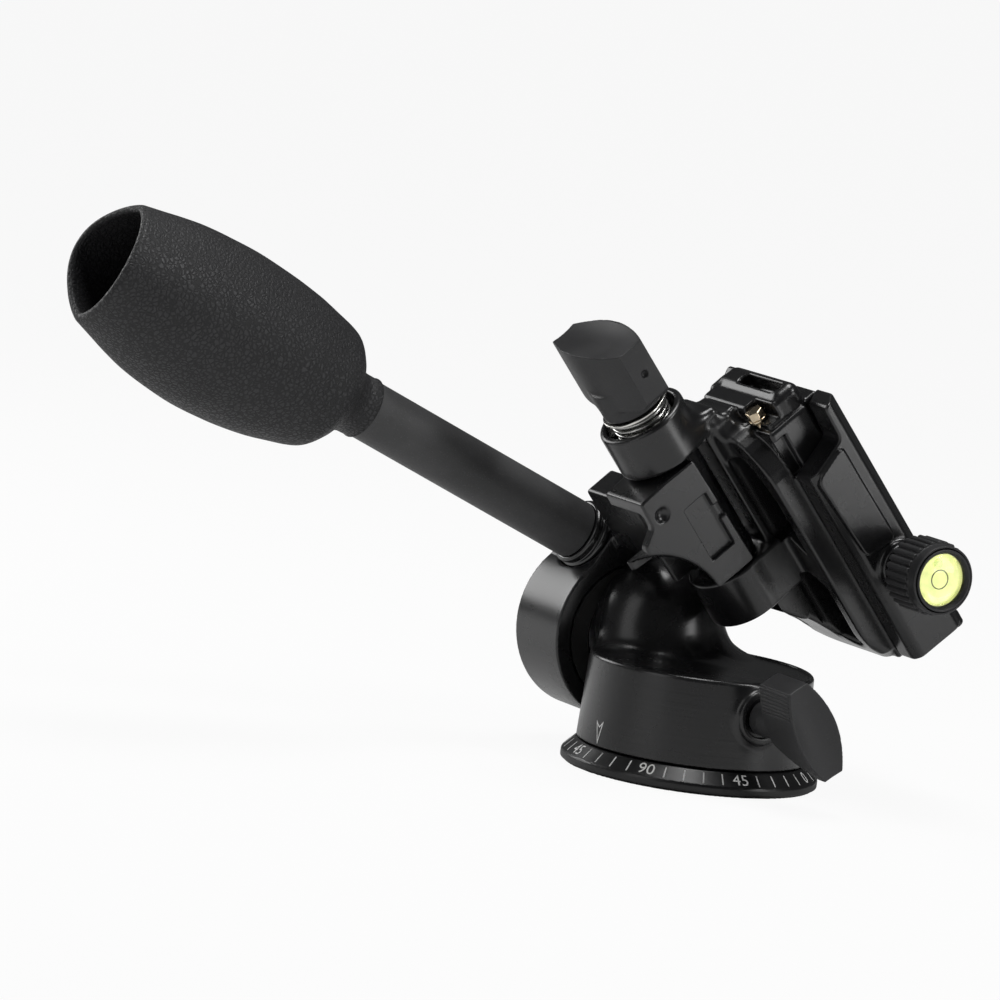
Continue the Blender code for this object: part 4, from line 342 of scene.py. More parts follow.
def turned(name, profile, frame_used, steps=160, edge=0.0, arc=4, support=0.25):
    """Turned shape about a frame's Z axis, from (radius, station) rows."""
    if edge:
        profile = soft_corners(profile, edge, profile[0][0] > 0, arc, support)
    rows = np.array(profile, float)
    count = len(rows)
    angles = (np.arange(steps) * 2 * pi / steps)[:, None]
    radius = rows[:, 0][None, :]
    stations = np.broadcast_to(rows[:, 1][None, :], (steps, count))
    points = np.stack([radius * np.cos(angles), radius * np.sin(angles), stations], 2)
    faces = []
    for i in range(steps):
        j = (i + 1) % steps
        for k in range(count):
            m = (k + 1) % count
            if max(rows[k, 0], rows[m, 0]) >= 1e-9:
                faces.append((i * count + k, j * count + k, j * count + m, i * count + m))
    mesh = new_mesh(name, to_world(frame_used, points.reshape(-1, 3)), faces)
    return to_mesh(clean(shape_of(mesh)), mesh)


def lofted(name, rings, frame_used):
    """Closed skin through rings of points, with both ends closed by a fan."""
    rings = np.array(rings, float)
    count, around = rings.shape[:2]
    ends = rings[0].mean(0)[None], rings[-1].mean(0)[None]
    points = np.concatenate([rings.reshape(-1, 3), *ends])
    faces = []
    for i in range(count - 1):
        low = i * around
        high = low + around
        for j in range(around):
            m = (j + 1) % around
            faces.append((low + j, low + m, high + m, high + j))
    mesh = new_mesh(name, to_world(frame_used, points), faces)
    shape = shape_of(mesh)
    shape.verts.ensure_lookup_table()
    first, last = (shape.verts[count * around + i] for i in (0, 1))
    base = (count - 1) * around
    for j in range(around):
        m = (j + 1) % around
        shape.faces.new((shape.verts[m], shape.verts[j], first))
        shape.faces.new((shape.verts[base + j], shape.verts[base + m], last))
    return smooth(to_mesh(clean(shape), mesh))


def prism(name, outline, low, high, edge):
    """Flat outline with thickness and round edges, in its own millimetres."""
    shape = bmesh.new()
    bottom = [shape.verts.new((u, v, low)) for u, v in outline]
    top = [shape.verts.new((u, v, high)) for u, v in outline]
    shape.faces.new(list(reversed(bottom)))
    shape.faces.new(top)
    for i in range(len(outline)):
        j = (i + 1) % len(outline)
        shape.faces.new((bottom[i], bottom[j], top[j], top[i]))
    bmesh.ops.recalc_face_normals(shape, faces=shape.faces)
    if edge:
        sharp = [e for e in shape.edges if e.calc_face_angle(0) > radians(20)]
        bmesh.ops.bevel(
            shape, geom=sharp, offset=edge, segments=3, affect="EDGES", profile=0.5
        )
    return smooth(to_mesh(shape, bpy.data.meshes.new(name)))


def joined(name, meshes):
    """Several meshes as one."""
    return smooth(to_mesh(shape_of(*meshes), bpy.data.meshes.new(name)))


# Objects


def linked(name, data):
    """Object in the scene's collection."""
    item = bpy.data.objects.new(name, data)
    bpy.context.scene.collection.objects.link(item)
    return item


def made_mesh(item, *spent):
    """Mesh that an object's modifiers or curve give; it and its helpers are removed."""
    bpy.context.view_layer.update()
    depsgraph = bpy.context.evaluated_depsgraph_get()
    mesh = bpy.data.meshes.new_from_object(item.evaluated_get(depsgraph))
    for used in (item, *spent):
        bpy.data.objects.remove(used, do_unlink=True)
    return mesh


def add_piece(name, mesh, body, label, slot_name, *replaced):
    """Object at the origin that rides on a body and stands for its CAD nodes."""
    mesh.name = name
    mesh.materials.clear()
    mesh.materials.append(finish(label))
    item = linked(name, mesh)
    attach(item, body)
    if replaced:
        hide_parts(*replaced)
    return item


# Shader node groups, each built once

FLOAT = "NodeSocketFloat"
VECTOR = ("Vector", "NodeSocketVector", None)
GEOMETRY = ("Geometry", "NodeSocketGeometry")
GROUPS = {}


def new_tree(kind, name, inputs, outputs):
    """Node group with its sockets, and the nodes' sockets for what comes in and goes out."""
    tree = bpy.data.node_groups.new(name, kind)
    for label, socket_kind, default in inputs:
        socket = tree.interface.new_socket(label, in_out="INPUT", socket_type=socket_kind)
        if default is not None:
            socket.default_value = default
    for label, socket_kind in outputs:
        tree.interface.new_socket(label, in_out="OUTPUT", socket_type=socket_kind)
    start = tree.nodes.new("NodeGroupInput")
    end = tree.nodes.new("NodeGroupOutput")
    return tree, start.outputs, end.inputs


def plug(tree, value, socket):
    """Links a socket to another one, or gives it a value."""
    if isinstance(value, bpy.types.NodeSocket):
        tree.links.new(value, socket)
    else:
        socket.default_value = value


def add_node(tree, kind, links=None, **values):
    """Node with its properties set and its sockets linked or given a value."""
    node = tree.nodes.new(kind)
    for key, value in values.items():
        setattr(node, key, value)
    for key, value in (links or {}).items():
        plug(tree, value, node.inputs[key])
    return node


def math(tree, operation, *values, clamp=False):
    """Sum of one step."""
    links = dict(enumerate(values))
    node = add_node(tree, "ShaderNodeMath", links, operation=operation, use_clamp=clamp)
    return node.outputs[0]


def noise(tree, vector, scale, detail, roughness=0.5):
    links = {"Vector": vector, "Scale": scale, "Detail": detail, "Roughness": roughness}
    return add_node(tree, "ShaderNodeTexNoise", links).outputs


def ranged(tree, value, given=(0.0, 1.0), wanted=(0.0, 1.0), style="LINEAR"):
    """Value taken from one range to another."""
    links = {"Value": value, "From Min": given[0], "From Max": given[1]}
    links |= {"To Min": wanted[0], "To Max": wanted[1]}
    return add_node(tree, "ShaderNodeMapRange", links, interpolation_type=style).outputs[0]


def make_grain_group():
    """Fine tooth of paint or moulded plastic, with slow patches in it."""
    tree, given, out = new_tree(
        "ShaderNodeTree",
        "surface_grain",
        [
            VECTOR,
            ("Grain Frequency", FLOAT, 2500.0),
            ("Wave Frequency", FLOAT, 500.0),
            ("Patch Frequency", FLOAT, 45.0),
        ],
        [("Height", FLOAT), ("Patches", FLOAT), ("Speckle", FLOAT)],
    )
    fine = noise(tree, given["Vector"], given["Grain Frequency"], 2.0, 0.6)[0]
    wave = noise(tree, given["Vector"], given["Wave Frequency"], 1.0, 0.4)[0]
    patch = noise(tree, given["Vector"], given["Patch Frequency"], 4.0, 0.55)[0]
    plug(tree, math(tree, "MULTIPLY_ADD", wave, 0.6, fine), out["Height"])
    plug(tree, ranged(tree, patch, (0.35, 0.65), style="SMOOTHSTEP"), out["Patches"])
    plug(tree, ranged(tree, fine, (0.62, 0.72)), out["Speckle"])
    return tree


def make_leather_group():
    """Pebbled leather grain: rounded cells with creases between them."""
    tree, given, out = new_tree(
        "ShaderNodeTree",
        "leather_grain",
        [VECTOR, ("Cell Frequency", FLOAT, 1000.0)],
        [("Height", FLOAT), ("Crease", FLOAT)],
    )

    def sum_of(operation, links):
        return add_node(tree, "ShaderNodeVectorMath", links, operation=operation).outputs[0]

    bend = noise(tree, given["Vector"], 650.0, 2.0)["Color"]
    shift = sum_of("SUBTRACT", {0: bend, 1: (0.5, 0.5, 0.5)})
    scaled = sum_of("SCALE", {0: shift, "Scale": 0.0012})
    moved = sum_of("ADD", {0: given["Vector"], 1: scaled})
    links = {"Vector": moved, "Scale": given["Cell Frequency"]}
    edge = add_node(tree, "ShaderNodeTexVoronoi", links, feature="DISTANCE_TO_EDGE")
    rise = ranged(tree, edge.outputs["Distance"], (0.0, 0.30), style="SMOOTHERSTEP")
    fine = noise(tree, given["Vector"], 5200.0, 2.0)[0]
    plug(tree, math(tree, "MULTIPLY_ADD", fine, 0.22, rise), out["Height"])
    plug(tree, math(tree, "SUBTRACT", 1.0, rise), out["Crease"])
    return tree


def make_lines_group():
    """Turning lines round the Z axis of the vector."""
    tree, given, out = new_tree(
        "ShaderNodeTree",
        "turning_lines",
        [VECTOR, ("Line Frequency", FLOAT, 3000.0)],
        [("Height", FLOAT)],
    )
    apart = add_node(tree, "ShaderNodeSeparateXYZ", {0: given["Vector"]}).outputs
    flat = add_node(tree, "ShaderNodeCombineXYZ", {0: apart[0], 1: apart[1]})
    radius = add_node(tree, "ShaderNodeVectorMath", {0: flat.outputs[0]}, operation="LENGTH")
    line = add_node(
        tree,
        "ShaderNodeTexNoise",
        {"Scale": given["Line Frequency"], "Detail": 3.0, "Roughness": 0.6},
        noise_dimensions="1D",
    )
    plug(tree, math(tree, "ADD", radius.outputs["Value"], apart[2]), line.inputs["W"])
    plug(tree, line.outputs[0], out["Height"])
    return tree


def make_highlight_group():
    """Mask of the outer edges, broken up by noise, for a painted highlight on them."""
    tree, given, out = new_tree(
        "ShaderNodeTree", "edge_wear", [VECTOR, ("Reach", FLOAT, 0.06)], [("Mask", FLOAT)]
    )
    point = add_node(tree, "ShaderNodeNewGeometry").outputs["Pointiness"]
    highlight_amount = noise(tree, given["Vector"], 420.0, 4.0, 0.65)[0]
    edge = ranged(tree, point, (0.505, math(tree, "ADD", 0.5, given["Reach"])))
    plug(tree, math(tree, "MULTIPLY", edge, highlight_amount, clamp=True), out["Mask"])
    return tree


def group(maker):
    """Node group of a maker, made when it is first asked for."""
    if maker not in GROUPS:
        GROUPS[maker] = maker()
    return GROUPS[maker]


def use_group(tree, maker, links):
    return add_node(tree, "ShaderNodeGroup", links, node_tree=group(maker)).outputs


def use_grain(tree, vector, patch, grain=2500.0, wave=500.0):
    links = {"Vector": vector, "Patch Frequency": patch}
    links |= {"Grain Frequency": grain, "Wave Frequency": wave}
    return use_group(tree, make_grain_group, links)


def start_material(name, colour, roughness, metallic=0.0, coat=0.0, frame_used=None):
    """Material with its shader's sockets and its object coordinates, in a frame if given."""
    material = bpy.data.materials.new(name)
    material.use_nodes = True
    tree = material.node_tree
    shader = tree.nodes["Principled BSDF"].inputs
    shader["Base Color"].default_value = (*colour, 1.0)
    shader["Roughness"].default_value = roughness
    shader["Metallic"].default_value = metallic
    shader["Coat Weight"].default_value = coat
    shader["Coat Roughness"].default_value = 0.25
    vector = add_node(tree, "ShaderNodeTexCoord").outputs["Object"]
    if frame_used is not None:
        origin, turn = frame_used
        back = Matrix([list(row) for row in turn]).transposed()
        links = {"Vector": vector, "Rotation": back.to_euler()}
        links["Location"] = -(back @ Vector(origin * MM))
        vector = add_node(tree, "ShaderNodeMapping", links, vector_type="POINT").outputs[0]
    return material, tree, shader, vector


def colour_mix(tree, mask, low, high):
    """Colour between two, by a mask."""
    node = add_node(tree, "ShaderNodeMix", {"Factor": mask}, data_type="RGBA")
    sockets = [s for s in node.inputs if s.type == "RGBA"]
    for value, socket in zip((low, high), sockets):
        plug(tree, (*value, 1.0) if isinstance(value, tuple) else value, socket)
    return [s for s in node.outputs if s.type == "RGBA"][0]


def add_bump(tree, shader, height, distance, strength=1.0, under=None):
    """Bump on the shader's normal, over another bump if given."""
    links = {"Height": height, "Distance": distance, "Strength": strength}
    if under is not None:
        links["Normal"] = under
    bump = add_node(tree, "ShaderNodeBump", links).outputs[0]
    plug(tree, bump, shader["Normal"])
    return bump


def add_lines(tree, shader, vector, frequency, distance, strength):
    ring = use_group(tree, make_lines_group, {"Vector": vector, "Line Frequency": frequency})
    return add_bump(tree, shader, ring["Height"], distance, strength)


SPECKLE_GREY = (0.20, 0.20, 0.205)
# Grey of the painted highlight on the outer edges
HIGHLIGHT_GREY = (0.09, 0.09, 0.092)


def painted(
    name, colour, roughness, grain, wave, depth, coat=0.0, speckle=0.0, painted_highlight=0.0, lines=0.0
):
    """Black paint or moulded plastic: grain, slow patches, a painted highlight on the outer edges
    and turning lines.
    """
    material, tree, shader, vector = start_material(name, colour, roughness, 0.0, coat)
    surface = use_grain(tree, vector, 60.0, grain, wave)
    light = tuple(min(1.0, c * 1.35 + 0.001) for c in colour)
    tone = colour_mix(tree, surface["Patches"], colour, light)
    if speckle:
        dots = math(tree, "MULTIPLY", surface["Speckle"], speckle)
        tone = colour_mix(tree, dots, tone, SPECKLE_GREY)
    # Painted highlight: the outer edges are lightened towards a grey, standing in for light caught
    # on the rounded edges
    if painted_highlight:
        highlight_mask = use_group(tree, make_highlight_group, {"Vector": vector, "Reach": 0.10})
        highlight_amount = math(tree, "MULTIPLY", highlight_mask["Mask"], painted_highlight)
        tone = colour_mix(tree, highlight_amount, tone, HIGHLIGHT_GREY)
    plug(tree, tone, shader["Base Color"])
    rough = ranged(tree, surface["Patches"], wanted=(roughness * 0.9, roughness * 1.12))
    plug(tree, rough, shader["Roughness"])
    under = add_lines(tree, shader, vector, lines, 0.00003, 0.5) if lines else None
    add_bump(tree, shader, surface["Height"], depth, 1.0, under)
    return material


def bare_metal(name, colour, roughness, frame_used=None, lines=3500.0):
    """Turned or plated metal with fine lines and faint stains."""
    material, tree, shader, vector = start_material(
        name, colour, roughness, 1.0, 0.0, frame_used
    )
    surface = use_grain(tree, vector, 220.0)
    dull = tuple(c * 0.72 for c in colour)
    plug(tree, colour_mix(tree, surface["Patches"], dull, colour), shader["Base Color"])
    rough = ranged(tree, surface["Patches"], wanted=(roughness * 1.35, roughness * 0.85))
    plug(tree, rough, shader["Roughness"])
    under = add_lines(tree, shader, vector, lines, 0.00001, 1.0)
    add_bump(tree, shader, surface["Height"], 0.000003, 1.0, under)
    return material


def leathered(name, colour, roughness, cells):
    """Soft rubber skin with leather grain, and painted shade that darkens its creases."""
    material, tree, shader, vector = start_material(name, colour, roughness)
    links = {"Vector": vector, "Cell Frequency": cells}
    leather = use_group(tree, make_leather_group, links)
    surface = use_grain(tree, vector, 40.0)
    # Painted shade: the colour is darkened in the creases between the cells, where shade would fall
    dark = tuple(c * 0.45 for c in colour)
    plug(tree, colour_mix(tree, leather["Crease"], colour, dark), shader["Base Color"])
    blend_in = math(tree, "MULTIPLY_ADD", surface["Patches"], 0.4, leather["Crease"])
    rough = ranged(tree, blend_in, wanted=(roughness * 0.85, roughness * 1.25))
    plug(tree, rough, shader["Roughness"])
    add_bump(tree, shader, leather["Height"], 0.00012, 0.9)
    return material


def see_through(name, colour, roughness, transmission, glow=0.0):
    """Clear acrylic or liquid with a faint ripple, and with painted light where glow is given: an
    emission that makes it glow though it is no lamp.
    """
    material, tree, shader, vector = start_material(name, colour, roughness)
    shader["Transmission Weight"].default_value = transmission
    shader["IOR"].default_value = 1.40
    surface = use_grain(tree, vector, 300.0, 900.0)
    light = tuple(min(1.0, c * 1.06) for c in colour)
    dark = tuple(c * 0.93 for c in colour)
    tone = colour_mix(tree, surface["Patches"], dark, light)
    plug(tree, tone, shader["Base Color"])
    # Painted light: the emission makes the level's fluid and bubble glow though they are no lamps
    if glow:
        plug(tree, tone, shader["Emission Color"])
        shader["Emission Strength"].default_value = glow
    add_bump(tree, shader, surface["Height"], 0.000004, 0.5)
    return material


# Finishes by label: maker, name, colour or the colour property's name, roughness and
# then for painted: grain, wave, depth, coat, speckle, painted edge highlight, lines;
# for see_through: transmission, glow (painted light); for bare_metal: frame, lines

FINISH_ROWS = {
    "casting": (painted, "black_casting", "paint", 0.27, 1900.0, 380.0, 1.2e-5, 0.3, 0, 0.25),
    "housing": (
        painted, "black_housing", "paint", 0.27, 1900.0, 380.0, 1e-5, 0.3, 0, 0.25, 900.0
    ),
    "base": (painted, "black_base", "paint", 0.34, 2600.0, 700.0, 4e-6, 0.2),
    "plastic": (painted, "matt_plastic", "plastic", 0.5, 3200.0, 700.0, 1.2e-5, 0, 0.1, 0.25),
    "collar": (painted, "gloss_collar", "paint", 0.12, 1500.0, 300.0, 4e-6, 0.6),
    "tube": (painted, "powder_coat", "tube", 0.52, 3000.0, 1200.0, 6e-5, 0, 0.3),
    "grip": (leathered, "leather_grip", "grip", 0.5, 900.0),
    "print": (painted, "white_print", "printed", 0.55, 3000.0, 900.0, 4e-6),
    "cup": (painted, "vial_cup_white", (0.84, 0.85, 0.76), 0.4, 3000.0, 900.0, 4e-6),
    "ring": (painted, "level_ring_black", (0.05, 0.055, 0.02), 0.4, 3000.0, 900.0, 2e-6),
    # The fluid and the bubble glow: painted light, as they are no lamps
    "fluid": (see_through, "level_fluid_green", "fluid", 0.12, 0.25, 0.42),
    "bubble": (see_through, "level_bubble_clear", (0.86, 0.95, 0.55), 0.05, 0.55, 0.1),
    "lens": (see_through, "level_lens_clear", (0.96, 1.0, 0.93), 0.02, 1.0),
    "roll_zinc": (bare_metal, "zinc_washer", (0.80, 0.79, 0.75), 0.2, ROLL_AXIS),
    "spring": (bare_metal, "spring_steel", (0.66, 0.66, 0.64), 0.22, ROLL),
    "steel": (bare_metal, "dark_steel", (0.42, 0.42, 0.42), 0.3),
    "zinc": (bare_metal, "bright_zinc", (0.70, 0.70, 0.67), 0.26),
    "insert": (bare_metal, "insert_steel", (0.62, 0.61, 0.58), 0.28),
    "brass": (bare_metal, "nickel_brass", (0.80, 0.66, 0.47), 0.17, ROLL, 2500.0),
    "bronze": (bare_metal, "bushing_bronze", (0.70, 0.48, 0.26), 0.32, ROLL),
    "alloy": (bare_metal, "turned_alloy", (0.62, 0.63, 0.64), 0.3),
    # Dark nylon for the washers, which also stands in for the shade in the gap between the drum and
    # the dome: partly painted shade
    "bearing": (painted, "bearing_nylon", (0.014, 0.014, 0.014), 0.45, 2500.0, 700.0, 1e-5),
}
FINISHES = {}


def finish(label):
    """Material of a label, made when it is first asked for."""
    if label not in FINISHES:
        maker, name, tone, *rest = FINISH_ROWS[label]
        if isinstance(tone, str):
            tone = tuple(getattr(bpy.context.scene.video_head_colours, tone))
        FINISHES[label] = maker(name, tone, *rest)
    return FINISHES[label]


# Geometry node trees for what repeats


def end_tree(tree, geometry, given, out):
    """Makes instances real and gives them their material."""
    real = add_node(tree, "GeometryNodeRealizeInstances", {"Geometry": geometry})
    links = {"Geometry": real.outputs[0], "Material": given["Finish"]}
    last = add_node(tree, "GeometryNodeSetMaterial", links)
    plug(tree, last.outputs[0], out["Geometry"])
    return tree


def object_geometry(tree, socket):
    node = add_node(
        tree, "GeometryNodeObjectInfo", {"Object": socket}, transform_space="ORIGINAL"
    )
    return node.outputs["Geometry"]


def compare(tree, operation, first, second):
    links = {"A": first, "B": second}
    node = add_node(
        tree, "FunctionNodeCompare", links, data_type="FLOAT", operation=operation
    )
    return node.outputs[0]


def make_ring_tree():
    """Parts set round an axis, with some places left out."""
    tree, given, out = new_tree(
        "GeometryNodeTree",
        "parts_round_an_axis",
        [
            ("Part", "NodeSocketObject", None),
            ("Count", "NodeSocketInt", 3),
            ("Radius", FLOAT, 1.0),
            ("First Turn", FLOAT, 0.0),
            ("Leave Out Every", "NodeSocketInt", 0),
            ("Finish", "NodeSocketMaterial", None),
        ],
        [GEOMETRY],
    )
    index = add_node(tree, "GeometryNodeInputIndex").outputs[0]
    spots = add_node(tree, "GeometryNodePoints", {"Count": given["Count"]})
    stored = add_node(
        tree,
        "GeometryNodeStoreNamedAttribute",
        {"Geometry": spots.outputs[0], "Name": "number"},
        data_type="FLOAT",
        domain="POINT",
    )
    plug(tree, index, stored.inputs["Value"])
    rest = math(tree, "FLOORED_MODULO", index, given["Leave Out Every"])
    first = compare(tree, "LESS_THAN", rest, 0.5)
    wanted = compare(tree, "GREATER_THAN", given["Leave Out Every"], 1.0)
    both = add_node(tree, "FunctionNodeBooleanMath", {0: first, 1: wanted}, operation="AND")
    links = {"Geometry": stored.outputs[0], "Selection": both.outputs[0]}
    kept = add_node(tree, "GeometryNodeDeleteGeometry", links, domain="POINT")
    read = add_node(
        tree, "GeometryNodeInputNamedAttribute", {"Name": "number"}, data_type="FLOAT"
    )
    share = math(tree, "DIVIDE", 2 * pi, given["Count"])
    angle = math(tree, "MULTIPLY", read.outputs["Attribute"], share)
    angle = math(tree, "ADD", angle, given["First Turn"])
    turn = add_node(tree, "ShaderNodeCombineXYZ", {2: angle})
    links = {"Points": kept.outputs[0], "Instance": object_geometry(tree, given["Part"])}
    links["Rotation"] = turn.outputs[0]
    placed = add_node(tree, "GeometryNodeInstanceOnPoints", links)
    away = add_node(tree, "ShaderNodeCombineXYZ", {0: given["Radius"]})
    links = {"Instances": placed.outputs[0], "Translation": away.outputs[0]}
    moved = add_node(tree, "GeometryNodeTranslateInstances", links)
    return end_tree(tree, moved.outputs[0], given, out)


def make_row_tree():
    """Parts set on the points of a guide."""
    tree, given, out = new_tree(
        "GeometryNodeTree",
        "parts_on_a_guide",
        [
            ("Guide", "NodeSocketObject", None),
            ("Part", "NodeSocketObject", None),
            ("Finish", "NodeSocketMaterial", None),
        ],
        [GEOMETRY],
    )
    links = {
        "Points": object_geometry(tree, given["Guide"]),
        "Instance": object_geometry(tree, given["Part"]),
    }
    placed = add_node(tree, "GeometryNodeInstanceOnPoints", links)
    return end_tree(tree, placed.outputs[0], given, out)


def make_coil_tree():
    """Round wire wound into a coil along Z."""
    tree, given, out = new_tree(
        "GeometryNodeTree",
        "wound_coil",
        [
            ("Turns", FLOAT, 3.5),
            ("Radius", FLOAT, 6.9),
            ("Height", FLOAT, 4.9),
            ("Wire Radius", FLOAT, 0.45),
            ("Finish", "NodeSocketMaterial", None),
        ],
        [GEOMETRY],
    )
    links = {"Resolution": 96, "Rotations": given["Turns"], "Height": given["Height"]}
    links |= {"Start Radius": given["Radius"], "End Radius": given["Radius"]}
    line = add_node(tree, "GeometryNodeCurveSpiral", links)
    links = {"Resolution": 16, "Radius": given["Wire Radius"]}
    wire = add_node(tree, "GeometryNodeCurvePrimitiveCircle", links)
    links = {"Curve": line.outputs[0], "Profile Curve": wire.outputs[0], "Fill Caps": True}
    skin = add_node(tree, "GeometryNodeCurveToMesh", links)
    soft = add_node(tree, "GeometryNodeSetShadeSmooth", {"Geometry": skin.outputs[0]})
    return end_tree(tree, soft.outputs[0], given, out)


def grown(name, maker, inputs, frame_used):
    """Plain mesh that a geometry node tree makes in a frame's millimetres."""
    tree = group(maker)
    holder = linked(name + "_maker", bpy.data.meshes.new(name + "_maker"))
    modifier = holder.modifiers.new("maker", "NODES")
    modifier.node_group = tree
    for item in tree.interface.items_tree:
        if item.item_type == "SOCKET" and item.in_out == "INPUT":
            modifier[item.identifier] = inputs[item.name]
    parts = [value for value in inputs.values() if isinstance(value, bpy.types.Object)]
    result = made_mesh(holder, *parts)
    for attribute in list(result.attributes):
        if attribute.name == "number":
            result.attributes.remove(attribute)
    result.transform(matrix_of(frame_used))
    return result


def round_set(name, part_mesh, frame_used, count, radius, first, label, leave_out=0):
    """Copies of a small part round a frame's Z axis."""
    inputs = {
        "Part": linked(name + "_part", part_mesh),
        "Count": count,
        "Radius": float(radius),
        "First Turn": radians(first),
        "Leave Out Every": leave_out,
        "Finish": finish(label),
    }
    return smooth(grown(name, make_ring_tree, inputs, frame_used))


# Castings, as forms in the millimetres of their own frames

BASE_RADIUS = 31.0
BEVEL = 0.7071  # of the base's 45 degree bevel, which carries the scale
SCREW_RING = 10.0  # radius that the hub's screws sit on


def base_form(x, y, z):
    """Round base with its bevel, underside relief, insert hole and screw holes."""
    spread = np.hypot(x, y)
    item = round_two(spread - BASE_RADIUS, slab(z, 0.5, 2.4), 0.35)
    cone = round_two((spread - BASE_RADIUS + (z - 2.4)) * BEVEL, slab(z, 0.9, 5.7), 0.35)
    cone = np.maximum(cone, spread - 30.85)
    item = merge(item, cone, 0.25)
    rings = np.minimum(np.maximum(spread - 13.6, 6.0 - spread), slab(spread, 25.0, 30.3))
    item = merge(item, round_two(rings, slab(z, 0.0, 1.6), 0.3), 0.3)
    item = carve(item, np.maximum(slab(spread, 13.6, 25.0), z - 1.0), 0.3)
    item = carve(item, spread - 7.3, 0.3)
    for index in range(3):
        turn = radians(36.0 + 120.0 * index)
        away = np.hypot(x - SCREW_RING * cos(turn), y - SCREW_RING * sin(turn))
        item = carve(item, np.minimum(away - 1.55, np.maximum(away - 2.5, z - 2.4)), 0.25)
    return item


DOME_SPOT = (-2.0, 19.0, 33.0)
RELIEF_WAY = (-0.5197, -0.8451, 0.1260)
AXLE_FACE = 23.5  # where the housing meets the bracket's drum


def wall_radius(at):
    """Radius of the housing's tapered wall at a height."""
    return 27.8 - 0.8 * (at - 6.0) / 21.0


def housing_form(x, y, z):
    """Turning body: tapered wall, raised lip, dome with its bell and lock boss."""
    spread = np.hypot(x, y)
    wall = meet(spread - wall_radius(z), y - AXLE_FACE, 0.6)
    body = round_two(round_two(wall, z - 27.0, 0.9), 6.0 - z, 0.3)
    body = bore(body, spread, 25.7, z, 26.45, FAR, 0.5)
    dome = ellipsoid(x + 2.0, y - 19.0, z - 33.0, (15.8, 14.5, 15.8))
    corner = np.clip((x + 4.0) / 14.0, 0.0, 1.0) * np.clip((y - 4.0) / 14.0, 0.0, 1.0)
    bell = merge(z - 26.5, dome, 10.5 + 6.0 * corner)
    bell = np.maximum(np.maximum(bell, spread - 26.0), np.maximum(20.0 - z, y - AXLE_FACE))
    item = merge(np.minimum(body, bell), meet(dome, y - AXLE_FACE, 0.5), 0.7)
    away = np.hypot(x - PAN_LOCK_SPOT[0], z - PAN_LOCK_SPOT[2])
    item = merge(item, round_two(away - 6.4, slab(y, PAN_LOCK_SPOT[1], -16.0), 0.5), 2.0)
    item = bore(item, away, 5.0, y, -FAR, -27.7, 0.3)
    item = bore(item, away, 2.8, y, -FAR, 0.0, 0.3)
    item = bore(item, spread, 16.3, z, -FAR, 23.1, 0.3)
    item = bore(item, spread, 21.8, z, -FAR, 15.3, 0.3)
    return bore(item, np.hypot(x + 5.5, z - 28.8), 4.3, y, 7.7, FAR, 0.3)


SOCKET_OUTLINE = (
    (-21.2, -0.42), (-21.41, 1.27), (-25.76, 14.84), (-25.02, 16.22),
    (-11.87, 21.41), (-3.82, 20.86), (0.0, 10.6), (-10.6, 0.0),
)
BLOCK_OUTLINE = (
    (-46.16, 21.42), (-46.42, 12.12), (-46.10, 4.04), (-39.28, 3.84), (-36.40, -0.40),
    (-25.52, -0.20), (-24.72, 7.48), (-15.60, 7.68), (-15.44, 22.22),
)
BLOCK_CUTS = (
    ((-37.5, -18.0, 12.75), (-22.2, -13.3, 19.9), 0.5),
    ((-33.5, -18.0, 19.0), (-29.6, -13.6, 21.6), 0.4),
)


